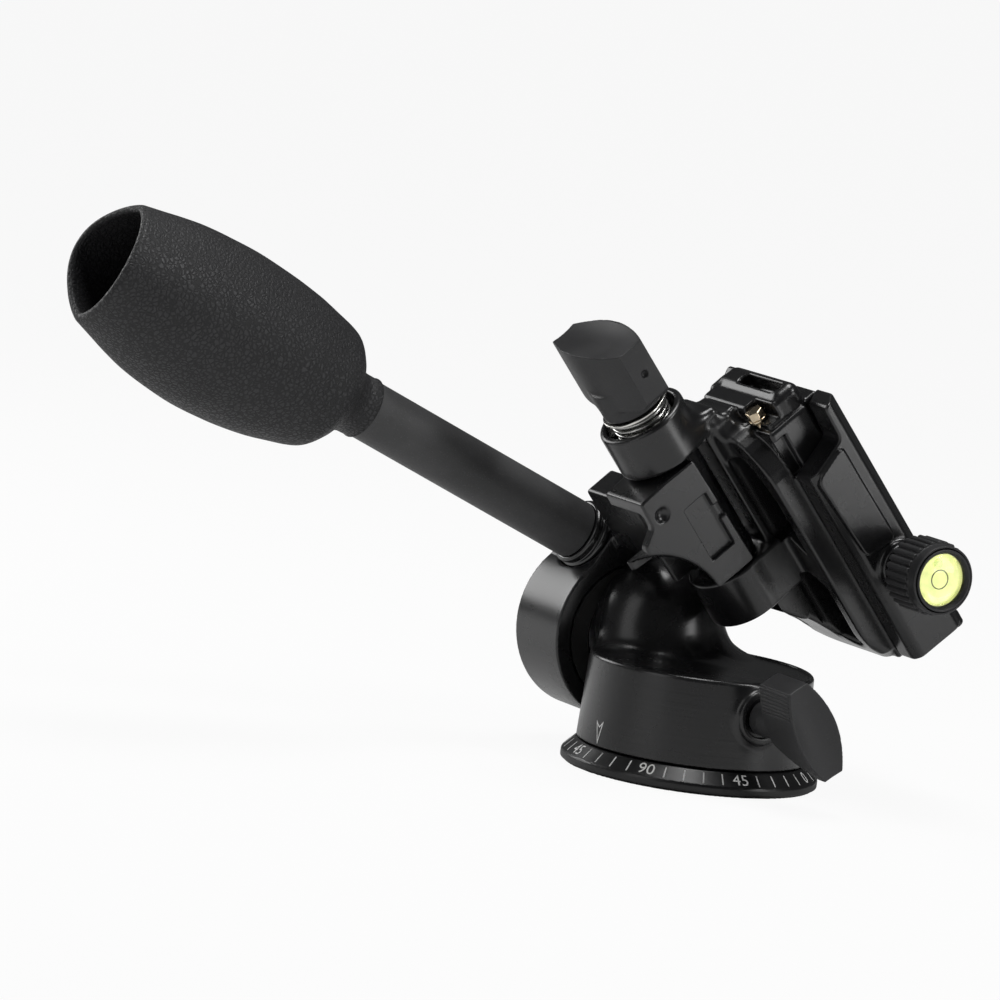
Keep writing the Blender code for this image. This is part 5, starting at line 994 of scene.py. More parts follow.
def bracket_form(x, y, z):
    """Drum, handle socket, arm and roll block."""
    spread = np.hypot(x, z)
    depth = slab(y, 24.0, 43.5)
    item = round_two(spread - 21.2, depth, 0.45)
    item = np.minimum(item, round_two(soft_form(x, z, SOCKET_OUTLINE, 1.6), depth, 0.45))
    block = round_two(soft_form(x, z, BLOCK_OUTLINE, 0.9), slab(y, -14.8, 1.5), 0.5)
    roll_away = np.hypot(y - ROLL_SPOT[1], z - ROLL_SPOT[2])
    barrel = round_two(roll_away - 7.9, slab(x, -46.8, -14.8), 0.4)
    arm = box_form(x, y, z, (-38.0, -4.0, 9.0), (-20.5, 24.5, 17.6), 0.9)
    item = merge(item, arm, 1.4)
    item = merge(item, merge(block, barrel, 0.8), 1.0)
    hollow = box_form(x, y, z, (-42.6, -12.4, -5.0), (-28.5, 4.0, 8.9), 0.8)
    item = carve(item, hollow, 0.5)
    spot = TILT[1].T @ (np.array(DOME_SPOT) - TILT[0])
    along = past_plane(x, y, z, spot, TILT[1].T @ np.array(RELIEF_WAY))
    reach = (x - spot[0]) ** 2 + (y - spot[1]) ** 2 + (z - spot[2]) ** 2 - along**2
    item = bore(item, np.sqrt(np.maximum(reach, 0.0)), 16.3, y, -FAR, 0.4, 0.6)
    for low, high, edge in BLOCK_CUTS:
        item = carve(item, box_form(x, y, z, low, high, edge), 0.3)
    ball = np.sqrt((x + 40.4) ** 2 + (y + 15.8) ** 2 + (z - 7.6) ** 2)
    item = carve(item, ball - 2.2, 0.3)
    for radius, low, high in (
        (12.3, 23.0, 39.2), (17.3, 23.0, 24.8), (14.8, 38.9, FAR), (18.8, 42.1, FAR)
    ):
        item = bore(item, spread, radius, y, low, high, 0.3)
    turn = turn_y(HANDLE_TURN)
    u = x - HANDLE_FOOT[0]
    w = z - HANDLE_FOOT[2]
    along = u * turn[0, 2] + w * turn[2, 2]
    away = np.hypot(u * turn[0, 0] + w * turn[2, 0], y - HANDLE_FOOT[1])
    item = bore(item, away, 8.9, along, 17.5, FAR, 0.4)
    item = bore(item, away, 3.3, along, 8.0, FAR, 0.2)
    item = bore(item, away, 4.8, along, -0.2, 9.2, 0.2)
    item = bore(item, roll_away, 4.6, x, -50.0, -10.0, 0.2)
    bush = np.minimum(slab(x, -50.0, -40.0), slab(x, -21.6, -10.0))
    return carve(item, np.maximum(roll_away - 5.8, bush), 0.3)


def tray_rows():
    """Outline of the tray, rounded towards the rear lug."""
    turns = [pi / 2 * index / 10 for index in range(11)]
    right = [(-29.0 - 15.0 * sin(turn), -19.0 + 13.0 * (1 - cos(turn))) for turn in turns]
    left = [(u, -v) for u, v in reversed(right)]
    return [(27.0, 15.4), (27.0, -15.4), (23.4, -19.0)] + right + left + [(23.4, 19.0)]


POCKETS = (
    ((-38.5, 6.5), (-12.3, 6.5), (-14.1, 10.95), (-8.7, 15.4), (-25.4, 15.4), (-32.6, 13.6),
     (-38.5, 10.1)),
    ((-4.5, 6.5), (17.4, 6.5), (21.0, 11.8), (19.2, 15.4), (0.9, 15.4), (-2.7, 10.95)),
)
KEEL_OUTLINE = (
    (-2.93, 14.4), (-2.93, -0.36), (3.63, 3.29), (10.76, 8.69), (16.17, 11.16),
    (21.87, 12.78), (26.0, 14.4), (27.0, 18.36), (-2.93, 18.36),
)
FIXED_JAW_OUTLINE = (
    (17.4, 18.0), (22.3, 18.0), (23.0, 18.8), (23.0, 34.8), (22.3, 35.5),
    (15.6, 35.5), (15.6, 34.4), (17.8, 31.1), (17.8, 29.4), (17.4, 29.4),
)
FRONT_CUTS = (
    ((16.0, 19.0, 12.5), (0.6, 0.397, -0.695)),
    ((18.5, 0.0, 12.5), (0.47, 0.0, -0.883)),
)
GUIDE_PINS = (-22.0, 20.0)
GUIDE_PIN_HEIGHT = 23.5
GUIDE_PIN_HOLE = 2.05
SCREW_HOLE = 2.8


def clamp_holes(item, x, y, z, screw, pins):
    """Holes for the clamp's screw and its guide pins, each with stations, edge and fillet."""
    low, high, edge, fillet = screw
    u, w = x - CLAMP_SPOT[0], z - CLAMP_SPOT[2]
    item = carve(item, rod_form(u, w, y, SCREW_HOLE, low, high, edge), fillet)
    low, high, edge, fillet = pins
    for at in GUIDE_PINS:
        u, w = x - at, z - GUIDE_PIN_HEIGHT
        item = carve(item, rod_form(u, w, y, GUIDE_PIN_HOLE, low, high, edge), fillet)
    return item


def bed_form(x, y, z):
    """Clamp bed: plate, tray with pockets, lugs, keel, loop and fixed jaw."""

    def box(low, high, edge):
        return box_form(x, y, z, low, high, edge)

    away = np.hypot(y, z)
    item = box((-42.3, -19.0, 18.0), (27.0, 17.6, 30.0), 0.9)
    item = merge(item, box((-47.3, -17.5, 19.6), (-38.0, 9.4, 30.0), 1.2), 0.8)
    item = merge(item, box((-42.3, -16.9, 28.0), (-30.2, -7.3, 35.2), 1.0), 0.6)
    tray = round_two(outline_form(x, y, tray_rows()), slab(z, 12.5, 26.4), 0.7)
    item = merge(item, tray, 0.8)
    jaw = round_two(outline_form(y, z, FIXED_JAW_OUTLINE), slab(x, -42.0, 27.0), 0.5)
    item = merge(item, jaw, 0.5)
    rear_lug = round_two(away - 10.8, slab(x, -59.0, -47.3), 0.9)
    neck = box((-51.5, -7.2, 3.0), (-47.4, 7.2, 15.0), 1.6)
    neck = merge(neck, box((-48.5, -8.0, 10.6), (-38.0, 8.0, 17.0), 1.4), 2.0)
    front_lug = round_two(away - 10.0, slab(x, -14.3, -1.5), 0.7)
    web = box((-14.3, -9.8, 0.0), (-1.5, 9.8, 18.0), 0.7)
    keel = round_two(soft_form(x, z, KEEL_OUTLINE, 3.0), slab(y, -6.5, 6.5), 0.8)
    spine = box((-48.0, -6.5, 8.8), (-13.0, 6.5, 19.0), 0.5)
    item = merge(item, merge(rear_lug, neck, 4.5), 4.2)
    item = merge(item, merge(front_lug, web, 0.8), 1.4)
    item = merge(item, merge(keel, spine, 0.6), 1.2)
    item = merge(item, box((-48.2, -17.6, 24.2), (-41.0, 9.6, 31.7), 2.4), 0.8)
    lobe = rod_form(y - 9.6, z - 25.4, x, 2.9, -47.6, -41.0, 1.2)
    item = merge(item, lobe, 0.8)
    for way in (-1, 1):
        for rows in POCKETS:
            rows = [(u, way * v) for u, v in rows]
            pocket = round_two(soft_form(x, y, rows, 1.2), slab(z, -20.0, 19.0), 0.9)
            item = carve(item, np.maximum(pocket, slab(z, 11.0, 40.0)), 0.5)
    for radius, low, high, fillet in (
        (8.5, -47.3, -14.3, 0.3), (4.3, -60.0, 0.0, 0.2), (9.0, -FAR, -54.0, 0.4),
        (7.1, -5.1, 30.0, 0.3),
    ):
        item = bore(item, away, radius, x, low, high, fillet)
    item = clamp_holes(item, x, y, z, (-25.0, 17.0, 0.2, 0.3), (-25.0, -3.5, 0.2, 0.3))
    item = carve(item, box((-56.0, -14.6, 26.3), (-44.4, 1.6, 29.5), 1.2), 0.7)
    item = carve(item, box((-54.0, -22.0, 17.4), (-43.6, -9.3, 23.4), 0.6), 0.5)
    item = carve(item, rod_form(y + 12.0, z - 20.5, x, 1.5, -50.0, -35.0, 0.1), 0.2)
    item = carve(item, np.maximum(10.0 - y, x + 42.0 - 0.55 * (35.5 - z)), 1.0)
    for spot, facing in FRONT_CUTS:
        flat = past_plane(x, y, z, spot, np.array(facing) / np.linalg.norm(facing))
        item = carve(item, np.maximum(-flat, 10.0 - x), 2.0)
    return carve(item, box((-39.8, -22.0, 18.3), (-29.3, -17.2, 21.6), 0.4), 0.4)


JAW_SECTION = (
    (-19.4, 18.4), (-19.4, 31.1), (-17.2, 34.4), (-17.2, 35.5),
    (-23.4, 35.5), (-27.0, 32.2), (-27.0, 20.2), (-25.2, 18.4),
)
JAW_SIDE = (
    (-42.7, 30.2), (-33.4, 29.9), (-29.8, 18.0), (26.1, 18.0), (26.5, 30.0),
    (26.5, 35.9), (-42.7, 35.9),
)
JAW_PANEL = ((-32.4, 29.1), (-29.3, 19.1), (-12.1, 20.0), (-4.9, 20.5), (-3.6, 29.4))


def jaw_form(x, y, z):
    """Sliding jaw with its raised panel, boss and lobe."""
    section = soft_form(y, z, JAW_SECTION, 0.8)
    item = round_two(section, soft_form(x, z, JAW_SIDE, 1.4), 0.55)
    panel = round_two(soft_form(x, z, JAW_PANEL, 2.2), slab(y, -27.8, -24.0), 0.5)
    item = merge(item, panel, 0.35)
    u, w = x - CLAMP_SPOT[0], z - CLAMP_SPOT[2]
    item = merge(item, rod_form(u, w, y, 6.0, -29.4, -24.0, 0.6), 1.6)
    item = merge(item, rod_form(y + 23.2, z - 33.74, x, 1.76, 24.0, 27.9, 0.8), 0.4)
    return clamp_holes(item, x, y, z, (-31.0, -15.0, 0.1, 0.3), (-26.0, -15.0, 0.1, 0.2))


def lens_rows(length, width, tip, count=24):
    """Pointed oval with its tips cut flat."""
    half = length / 2
    sag = (width - tip) / 2
    bow = (half * half + sag * sag) / (2 * sag)
    right = [
        (u, sqrt(bow * bow - u * u) - bow + width / 2)
        for u in np.linspace(-half, half, count)
    ]
    return right + [(-u, -v) for u, v in right]


def wing_form(size, back_rows, bore_radius, bore_depth):
    """Wing knob: flat-tipped oval, troughed at the end, on a round stem."""
    length, width, tip, reach, stem, trough = size
    outline = lens_rows(length, width, tip)
    back = [(u * length / 2, v) for u, v in back_rows]
    front = reach + 4
    side = [*back, (length, back[-1][1]), (length, front), (-length, front)]
    side = soft_corners([*side, (-length, back[0][1])], 1.5, support=0)

    def form(x, y, z):
        wing = round_two(outline_form(x, y, outline), outline_form(x, z, side), 0.45)
        shape = np.maximum(1 - (2 * y / width) ** 2, -0.5)
        top = z - (reach - trough * shape * (1 - 0.35 * (2 * x / length) ** 2))
        wing = meet(wing, top, 0.35)
        away = np.hypot(x, y)
        wing = merge(wing, round_two(away - stem, slab(z, 0.0, back[0][1] + 3.0), 0.3), 1.0)
        return bore(wing, away, bore_radius, z, -FAR, bore_depth, 0.2)

    return form


# Length, width, tip, reach, stem's radius and trough's depth of each wing knob
ROLL_SIZE = (28.7, 13.5, 7.0, 19.9, 7.7, 1.35)
PAN_SIZE = (24.4, 11.2, 5.3, 21.8, 4.3, 1.1)
ROLL_WING = wing_form(ROLL_SIZE, [(-1.0, 4.8), (-0.9, 3.3), (0.9, 3.3), (1.0, 4.8)], 4.3, 10.2)
PAN_WING = wing_form(PAN_SIZE, [(-1.0, 8.0), (0.25, 8.0), (1.0, 17.6)], 2.8, 8.0)
PAN_SHIFT = PAN_LOCK[1].T @ np.array([0.85, 0.0, 0.75])


def roll_wing_form(x, y, z):
    """Upper wing knob with the small pit in its tip."""
    hole = np.sqrt((x + 14.35) ** 2 + y**2 + (z - 11.5) ** 2)
    return carve(ROLL_WING(x, y, z), hole - 0.95, 0.2)


def pan_wing_form(x, y, z):
    """Lower wing knob, which leans aside above its stem."""
    share = np.clip((z - 3.0) / 5.0, 0.0, 1.0)
    return PAN_WING(x - PAN_SHIFT[0] * share, y - PAN_SHIFT[1] * share, z)


# Properties


def length(name, note, default, low=0.0):
    return FloatProperty(
        name=name, description=note, default=default, min=low, max=0.1,
        subtype="DISTANCE", unit="LENGTH",
    )


def number(name, note, default, high):
    return IntProperty(name=name, description=note, default=default, min=8, max=high)


def colour(name, note, default):
    return FloatVectorProperty(
        name=name, description=note, default=default, size=3, min=0.0, max=1.0,
        subtype="COLOR",
    )


class VideoHeadSizes(bpy.types.PropertyGroup):
    """Sizes of the small details."""

    casting_pitch: length(
        "Casting Pitch", "Distance between the points of the castings' skins", 0.00045, 0.0003
    )
    tick_length: length("Tick Length", "Length of a mark of the pan scale", 0.0031)
    tick_width: length("Tick Width", "Width of a mark of the pan scale", 0.00032)
    tick_count: number("Tick Count", "Number of places on the pan scale", 40, 120)
    digit_height: length("Digit Height", "Height of the pan scale's numbers", 0.0031)
    rib_radius: length("Rib Radius", "Radius of the clamp knob's ribs", 0.00078)
    rib_count: number("Rib Count", "Number of ribs round the clamp knob", 28, 60)
    wall_of_grip: length("Grip Wall", "Wall of the grip at its open end", 0.002)


class VideoHeadColours(bpy.types.PropertyGroup):
    """Colours of the finishes."""

    paint: colour("Paint", "Black paint of the castings", (0.0062, 0.0062, 0.0067))
    plastic: colour("Plastic", "Matt plastic of the knobs", (0.019, 0.019, 0.020))
    grip: colour("Grip", "Rubber skin of the grip", (0.029, 0.029, 0.031))
    tube: colour("Tube", "Powder coat of the handle's tube", (0.050, 0.050, 0.051))
    printed: colour("Print", "Marks and numbers of the pan scale", (0.80, 0.80, 0.78))
    fluid: colour("Fluid", "Fluid of the round level", (0.92, 0.94, 0.50))


# Pieces

SCALE_RADIUS = 29.4
SCALE_HEIGHT = 4.02
SCALE_START = -143.0


def wrapped_text(body, height, azimuth):
    """Number laid on the base's bevel, read from outside."""
    curve = bpy.data.curves.new("number_" + body, "FONT")
    curve.body = body
    curve.align_x = curve.align_y = "CENTER"
    curve.size = height * 1.38
    curve.extrude = 0.00003
    curve.resolution_u = 6
    mesh = made_mesh(linked("number_maker", curve))
    shape = shape_of(mesh)
    bmesh.ops.remove_doubles(shape, verts=shape.verts, dist=1e-7)
    long_edges = [e for e in shape.edges if e.calc_length() > 0.0008]
    bmesh.ops.subdivide_edges(shape, edges=long_edges, cuts=1, use_grid_fill=False)
    bmesh.ops.triangulate(shape, faces=shape.faces)
    for vertex in shape.verts:
        u, v, w = vertex.co
        radius = SCALE_RADIUS * MM - v * BEVEL + w * BEVEL
        turn = azimuth + u / (SCALE_RADIUS * MM)
        rise = SCALE_HEIGHT * MM + v * BEVEL + w * BEVEL
        vertex.co = (radius * cos(turn), radius * sin(turn), rise)
    return to_mesh(shape, mesh)


def place_scale(sizes):
    """Marks and numbers of the pan scale."""
    wide = sizes.tick_width / MM / 2
    long = sizes.tick_length / MM / 2
    outline = [(-long, -wide), (long, -wide), (long, wide), (-long, wide)]
    tick = prism("tick", soft_corners(outline, wide * 0.8, support=0), -0.02, 0.03, 0)
    tick.transform(Matrix.Rotation(radians(45.0), 4, "Y"))
    place = place_in(WORLD, (0, 0, SCALE_HEIGHT))
    ticks = round_set(
        "scale_marks", tick, place, sizes.tick_count, SCALE_RADIUS, SCALE_START, "print", 5
    )
    add_piece("scale_marks", ticks, "base", "print", None)
    meshes = [
        wrapped_text(word, sizes.digit_height, radians(SCALE_START + 45.0 * index))
        for index, word in enumerate(("90", "45", "0", "45") * 2)
    ]
    add_piece("scale_numbers", joined("scale_numbers", meshes), "base", "print", None)


def place_insert():
    """Steel insert with its 3/8 inch thread."""
    steps = 96
    pitch = 25.4 / 16
    turns = [2 * pi * i / steps for i in range(steps)]

    def ring(radius, at):
        return [(radius * cos(turn), radius * sin(turn), at) for turn in turns]

    shell = ((4.9, 0.0), (6.8, 0.0), (7.0, 0.2), (7.0, 10.8), (6.8, 11.0), (4.9, 11.0))
    rings = [ring(radius, at) for radius, at in shell]
    for at in np.arange(0.6, 10.6, pitch / 12)[::-1]:
        row = []
        for i, turn in enumerate(turns):
            rise = abs((at / pitch - i / steps) % 1.0 - 0.5) * 2
            radius = 4.76 - 0.75 * min(1.0, max(0.0, (rise - 0.1) / 0.8))
            row.append((radius * cos(turn), radius * sin(turn), at))
        rings.append(row)
    faces = []
    for a in range(len(rings)):
        low = a * steps
        high = (a + 1) % len(rings) * steps
        for i in range(steps):
            j = (i + 1) % steps
            faces.append((low + i, low + j, high + j, high + i))
    mesh = new_mesh("thread", to_world(WORLD, np.array(rings).reshape(-1, 3)), faces)
    mesh = to_mesh(clean(shape_of(mesh)), mesh)
    add_piece("threaded_insert", mesh, "base", "insert", "bright_steel", "thread_insert")


def screw_head(radius, height, length, shank):
    """Socket screw with its head up and its shank down, in millimetres."""
    profile = ((0, height), (radius, height), (radius, 0), (shank, 0), (shank, -length))
    mesh = turned("head", (*profile, (0, -length)), PART, 36, 0.25)
    hexagon = [(radius * 0.55 * cos(pi / 3 * i), radius * 0.55 * sin(pi / 3 * i)) for i in range(6)]
    tool = linked("socket_tool", prism("socket", hexagon, height * 0.45, height + 1.0, 0))
    body = linked("head_body", mesh)
    modifier = body.modifiers.new("socket", "BOOLEAN")
    modifier.operation = "DIFFERENCE"
    modifier.solver = "EXACT"
    modifier.object = tool
    result = made_mesh(body, tool)
    result.set_sharp_from_angle(angle=radians(40))
    return result


def screw_set(name, head, frame_used, radius, first, body, node):
    """Three screws round a frame's Z axis, for three numbered nodes."""
    screws = round_set(name, head, frame_used, 3, radius, first, "steel")
    nodes = [f"{node}_{i}" for i in (1, 2, 3)]
    add_piece(name, screws, body, "steel", "bright_steel", *nodes)


def cast_piece(name, form, low, high, pitch, frame_used, *rest):
    add_piece(name, cast(name, form, low, high, pitch, frame_used), *rest)


def turned_piece(name, profile, edge, frame_used, steps, *rest):
    add_piece(name, turned(name, profile, frame_used, steps, edge), *rest)


ARROW = ((-1.45, 5.75), (0.0, 4.55), (1.35, 5.95), (0.1, 0.25))
ARROW_MIDDLE = (0.0, 4.1)
ARROW_LINE = 0.24
ARROW_TURN = -177.0


def arrow_rows():
    """Corners of the arrow and, for each, the one inside the line's width."""
    rows = []
    for index, spot in enumerate(ARROW):
        here = np.array(spot)
        before = np.array(ARROW[index - 1]) - here
        after = np.array(ARROW[(index + 1) % len(ARROW)]) - here
        one = before / np.linalg.norm(before)
        two = after / np.linalg.norm(after)
        bisector = (one + two) / np.linalg.norm(one + two)
        half = sqrt(max(1e-4, (1 - float(one @ two)) / 2))
        inward = bisector if (np.array(ARROW_MIDDLE) - here) @ bisector > 0 else -bisector
        rows.append((here, here + inward * min(ARROW_LINE / half, 1.4)))
    return rows


def arrow_mesh():
    """Outline of a long arrow, printed on the housing's wall above the scale."""
    steps = 10
    rows = arrow_rows()
    shape = bmesh.new()

    def on_wall(spot, lift):
        at = 6.3 + spot[1]
        radius = wall_radius(at) + lift
        turn = radians(ARROW_TURN) + spot[0] / 27.8
        return shape.verts.new(Vector((radius * cos(turn), radius * sin(turn), at)) * MM)

    for (a0, b0), (a1, b1) in zip(rows, rows[1:] + rows[:1]):
        for step in range(steps):
            t0 = step / steps
            t1 = (step + 1) / steps
            starts = [(a0, a1, t0), (a0, a1, t1), (b0, b1, t1), (b0, b1, t0)]
            quad = [start + (end - start) * t for start, end, t in starts]
            top = [on_wall(spot, 0.05) for spot in quad]
            low = [on_wall(spot, -0.05) for spot in quad]
            shape.faces.new(top)
            shape.faces.new(list(reversed(low)))
            for i, j in ((0, 1), (2, 3)):
                shape.faces.new((top[j], top[i], low[i], low[j]))
    return to_mesh(clean(shape, 2e-6), bpy.data.meshes.new("arrow"))


def share_at(table, at):
    """Smooth reading of a table of shares."""
    xs, ys = (np.array(column) for column in zip(*table))
    steps = np.diff(ys) / np.diff(xs)
    slope = np.zeros_like(ys)
    slope[0] = steps[0]
    slope[-1] = steps[-1]
    for i in range(1, len(xs) - 1):
        if steps[i - 1] * steps[i] > 0:
            slope[i] = 2 * steps[i - 1] * steps[i] / (steps[i - 1] + steps[i])
    i = int(np.clip(np.searchsorted(xs, at) - 1, 0, len(xs) - 2))
    h = xs[i + 1] - xs[i]
    t = (at - xs[i]) / h
    return float(
        ys[i] * (1 + 2 * t) * (1 - t) ** 2
        + slope[i] * h * t * (1 - t) ** 2
        + ys[i + 1] * t * t * (3 - 2 * t)
        + slope[i + 1] * h * t * t * (t - 1)
    )


# Shares of the grip's length, with the share of its height, its width against its height
# and how pointed its sides are
GRIP_HEIGHTS = (
    (0.0, 0.362), (0.035, 0.362), (0.08, 0.42), (0.12, 0.61), (0.16, 0.746),
    (0.24, 0.832), (0.32, 0.899), (0.44, 0.954), (0.56, 0.976), (0.68, 0.952),
    (0.76, 0.921), (0.84, 0.866), (0.92, 0.799), (1.0, 0.735),
)
GRIP_WIDTHS = ((0.0, 1.0), (0.1, 1.0), (0.25, 0.92), (0.55, 0.86), (1.0, 0.93))
GRIP_POINTS = ((0.0, 0.50), (0.11, 0.50), (0.30, 0.56), (0.60, 0.64), (1.0, 0.72))
GRIP_HEIGHT = 41.7
GRIP_START = 90.6
GRIP_LENGTH = 80.7
GRIP_DISH = 2.8
GRIP_SAG = -1.1
GRIP_TWIST = radians(-7.5)
GRIP_AROUND = 128


def grip_ring(share, shrink, station=None):
    """Ring of the grip's skin at a share of its length, or of its inside if shrunk."""
    at_share = min(share, 1.0)
    half = GRIP_HEIGHT * share_at(GRIP_HEIGHTS, at_share) / 2 - shrink
    side = half * share_at(GRIP_WIDTHS, at_share)
    power = 2 * share_at(GRIP_POINTS, at_share)
    sag = GRIP_SAG * sin(pi * at_share)
    start = GRIP_START + (share if station is None else station) * GRIP_LENGTH
    dish = GRIP_DISH * max(0.0, share - 0.6) ** 2 / 0.16
    rows = []
    for index in range(GRIP_AROUND):
        turn = 2 * pi * index / GRIP_AROUND
        across = half * cos(turn)
        out = side * abs(sin(turn)) ** power
        out = out if sin(turn) >= 0 else -out
        u = across * cos(GRIP_TWIST) - out * sin(GRIP_TWIST) + sag
        v = across * sin(GRIP_TWIST) + out * cos(GRIP_TWIST)
        rows.append((u, v, start - dish * cos(turn) ** 2))
    return rows


def scaled_ring(ring, factor):
    return [(u * factor, v * factor, w) for u, v, w in ring]


def grip_rings(wall):
    """Rings of the whole grip: bore, shoulder, skin, lip and inside."""
    spans = ((0, 0.2, 30), (0.2, 0.9, 60), (0.9, 1.0, 22))
    stations = np.concatenate([np.linspace(*span) for span in spans])
    stations = sorted(set(np.round(stations, 5)))
    turns = [2 * pi * i / GRIP_AROUND for i in range(GRIP_AROUND)]
    bores = ((7.5, 21.2), (7.5, 0.4), (7.725, 0.0))
    rings = [
        [(radius * cos(turn), radius * sin(turn), GRIP_START + at) for turn in turns]
        for radius, at in bores
    ]
    rings.append(scaled_ring(grip_ring(0.0, 0.0), 0.965))
    rings += [grip_ring(share, 0.0, max(share, 0.004)) for share in stations[:-2]]
    lip = ((0.994, 0.25, None), (0.9985, 0.6, None), (1.0, 1.1, 1.0), (1.0, 1.6, 1.0))
    rings += [grip_ring(*row) for row in (*lip, (1.0, wall * 0.98, 0.996))]
    inner = [share for share in stations[::-1] if 0.47 < share < 0.985]
    rings += [grip_ring(share, wall) for share in inner]
    floor = grip_ring(inner[-1] - 0.002, wall)
    return rings + [scaled_ring(floor, factor) for factor in (0.97, 0.8, 0.5, 0.15)]


def hex_screw():
    """Hexagon-head stop screw with its collar and shank."""
    turns = [pi / 3 * i + 0.35 for i in range(6)]
    head = prism("stop", [(2.25 * cos(t), 2.25 * sin(t)) for t in turns], 0.0, 3.0, 0.22)
    shank = turned("shank", [(0, 0.1), (1.2, 0.1), (1.2, -8.0), (0, -8.0)], PART, 40)
    collar = [(0, 0.9), (2.3, 0.9), (2.3, 0.3), (0, 0.3)]
    return joined("stop_screw", [head, shank, turned("stop_collar", collar, PART, 48, 0.2)])


# Operators, one for each group of pieces; an error in one stops it


class PieceMaker:
    def execute(self, context):
        self.make(context.scene.video_head_sizes)
        return {"FINISHED"}


class VIDEOHEAD_OT_base(PieceMaker, bpy.types.Operator):
    """Make the base with its pan scale, insert and screws"""

    bl_idname = "video_head.base"
    bl_label = "Base and Pan Scale"

    def make(self, sizes):
        cast_piece(
            "base_casting", base_form, (-31.2, -31.2, 0), (31.2, 31.2, 5.7), 0.4, WORLD,
            "base", "base", "black_casting", "base_plate",
        )
        place_scale(sizes)
        place_insert()
        under = place_in(WORLD, (0, 0, 2.3), turn_x(180))
        head = screw_head(2.2, 1.8, 9.0, 1.25)
        screw_set("hub_screws", head, under, SCREW_RING, -36.0, "base", "hub_screw")


class VIDEOHEAD_OT_housing(PieceMaker, bpy.types.Operator):
    """Make the turning housing with its dome, and the arrow on it"""

    bl_idname = "video_head.housing"
    bl_label = "Housing"

    def make(self, sizes):
        cast_piece(
            "housing_casting", housing_form, (-28.5, -29, 5.8), (28.5, 24, 49.2), 0.43, WORLD,
            "pan", "housing", "black_casting", "pan_housing",
        )
        add_piece("pan_arrow", arrow_mesh(), "pan", "print", None)


class VIDEOHEAD_OT_bracket(PieceMaker, bpy.types.Operator):
    """Make the tilt bracket, the drum's cover and its screws"""

    bl_idname = "video_head.bracket"
    bl_label = "Tilt Bracket"

    def make(self, sizes):
        cast_piece(
            "bracket_casting", bracket_form, (-47, -15.2, -21.6), (22, 44, 28.2),
            sizes.casting_pitch / MM, TILT, "tilt", "casting", "black_casting", "tilt_bracket",
        )
        profile = (
            (0, 44.9), (14.2, 44.9), (14.6, 44.5), (15.4, 44.5), (15.8, 44.9), (18.5, 44.9),
            (18.5, 42.4), (0, 42.4),
        )
        turned_piece(
            "drum_cap", profile, 0.35, DRUM, 192, "tilt", "collar", "black_plastic", "drum_cover"
        )
        far = place_in(TILT, (0, 44.1, 0), turn_x(-90))
        head = screw_head(1.7, 1.0, 5.7, 1.0)
        screw_set("cap_screws", head, far, 16.8, -212.0, "tilt", "cover_screw")


class VIDEOHEAD_OT_handle(PieceMaker, bpy.types.Operator):
    """Make the handle: collar, tube and hollow grip"""

    bl_idname = "video_head.handle"
    bl_label = "Handle"

    def make(self, sizes):
        collar = (
            (3.3, 21.7), (7.6, 21.7), (8.1, 21.2), (8.1, 20.3), (7.7, 20.0), (7.7, 19.5),
            (8.6, 19.1), (8.6, 17.8), (3.3, 17.8),
        )
        turned_piece(
            "collar_ring", collar, 0.45, HANDLE, 160,
            "handle", "collar", "gloss_collar", "handle_collar",
        )
        tube = ((6.0, 111.6), (7.2, 111.6), (7.2, 21.9), (6.0, 21.9))
        turned_piece(
            "tube_skin", tube, 0.3, HANDLE, 160, "handle", "tube", "powder_coat", "handle_tube"
        )
        grip = lofted("grip_skin", grip_rings(sizes.wall_of_grip / MM), HANDLE)
        add_piece("grip_skin", grip, "handle", "grip", "grip", "handle_grip")


class VIDEOHEAD_OT_bed(PieceMaker, bpy.types.Operator):
    """Make the clamp bed and its stop screw"""

    bl_idname = "video_head.bed"
    bl_label = "Clamp Bed"

    def make(self, sizes):
        cast_piece(
            "bed_casting", bed_form, (-59.2, -19.2, -11.5), (27.2, 23.2, 35.7),
            sizes.casting_pitch / MM * 1.02, ROLL, "clamp", "casting", "black_casting",
            "clamp_bed",
        )
        screw = hex_screw()
        screw.transform(matrix_of(place_in(ROLL, (-43.6, -12.0, 20.5), turn_y(-90))))
        add_piece("hex_stop_screw", screw, "clamp", "brass", "brass", "stop_screw")


class VIDEOHEAD_OT_jaw(PieceMaker, bpy.types.Operator):
    """Make the sliding jaw and the washer outside it"""

    bl_idname = "video_head.jaw"
    bl_label = "Clamp Jaw"

    def make(self, sizes):
        cast_piece(
            "jaw_casting", jaw_form, (-42.8, -29.5, 18.2), (28.2, -17.1, 35.6), 0.36, ROLL,
            "jaw", "casting", "black_casting", "clamp_jaw",
        )
        washer = ((2.8, 30.3), (5.2, 30.3), (5.2, 29.7), (2.8, 29.7))
        turned_piece(
            "screw_washer", washer, 0.15, CLAMP, 96, "jaw", "zinc", "bright_steel",
            "clamp_washer",
        )


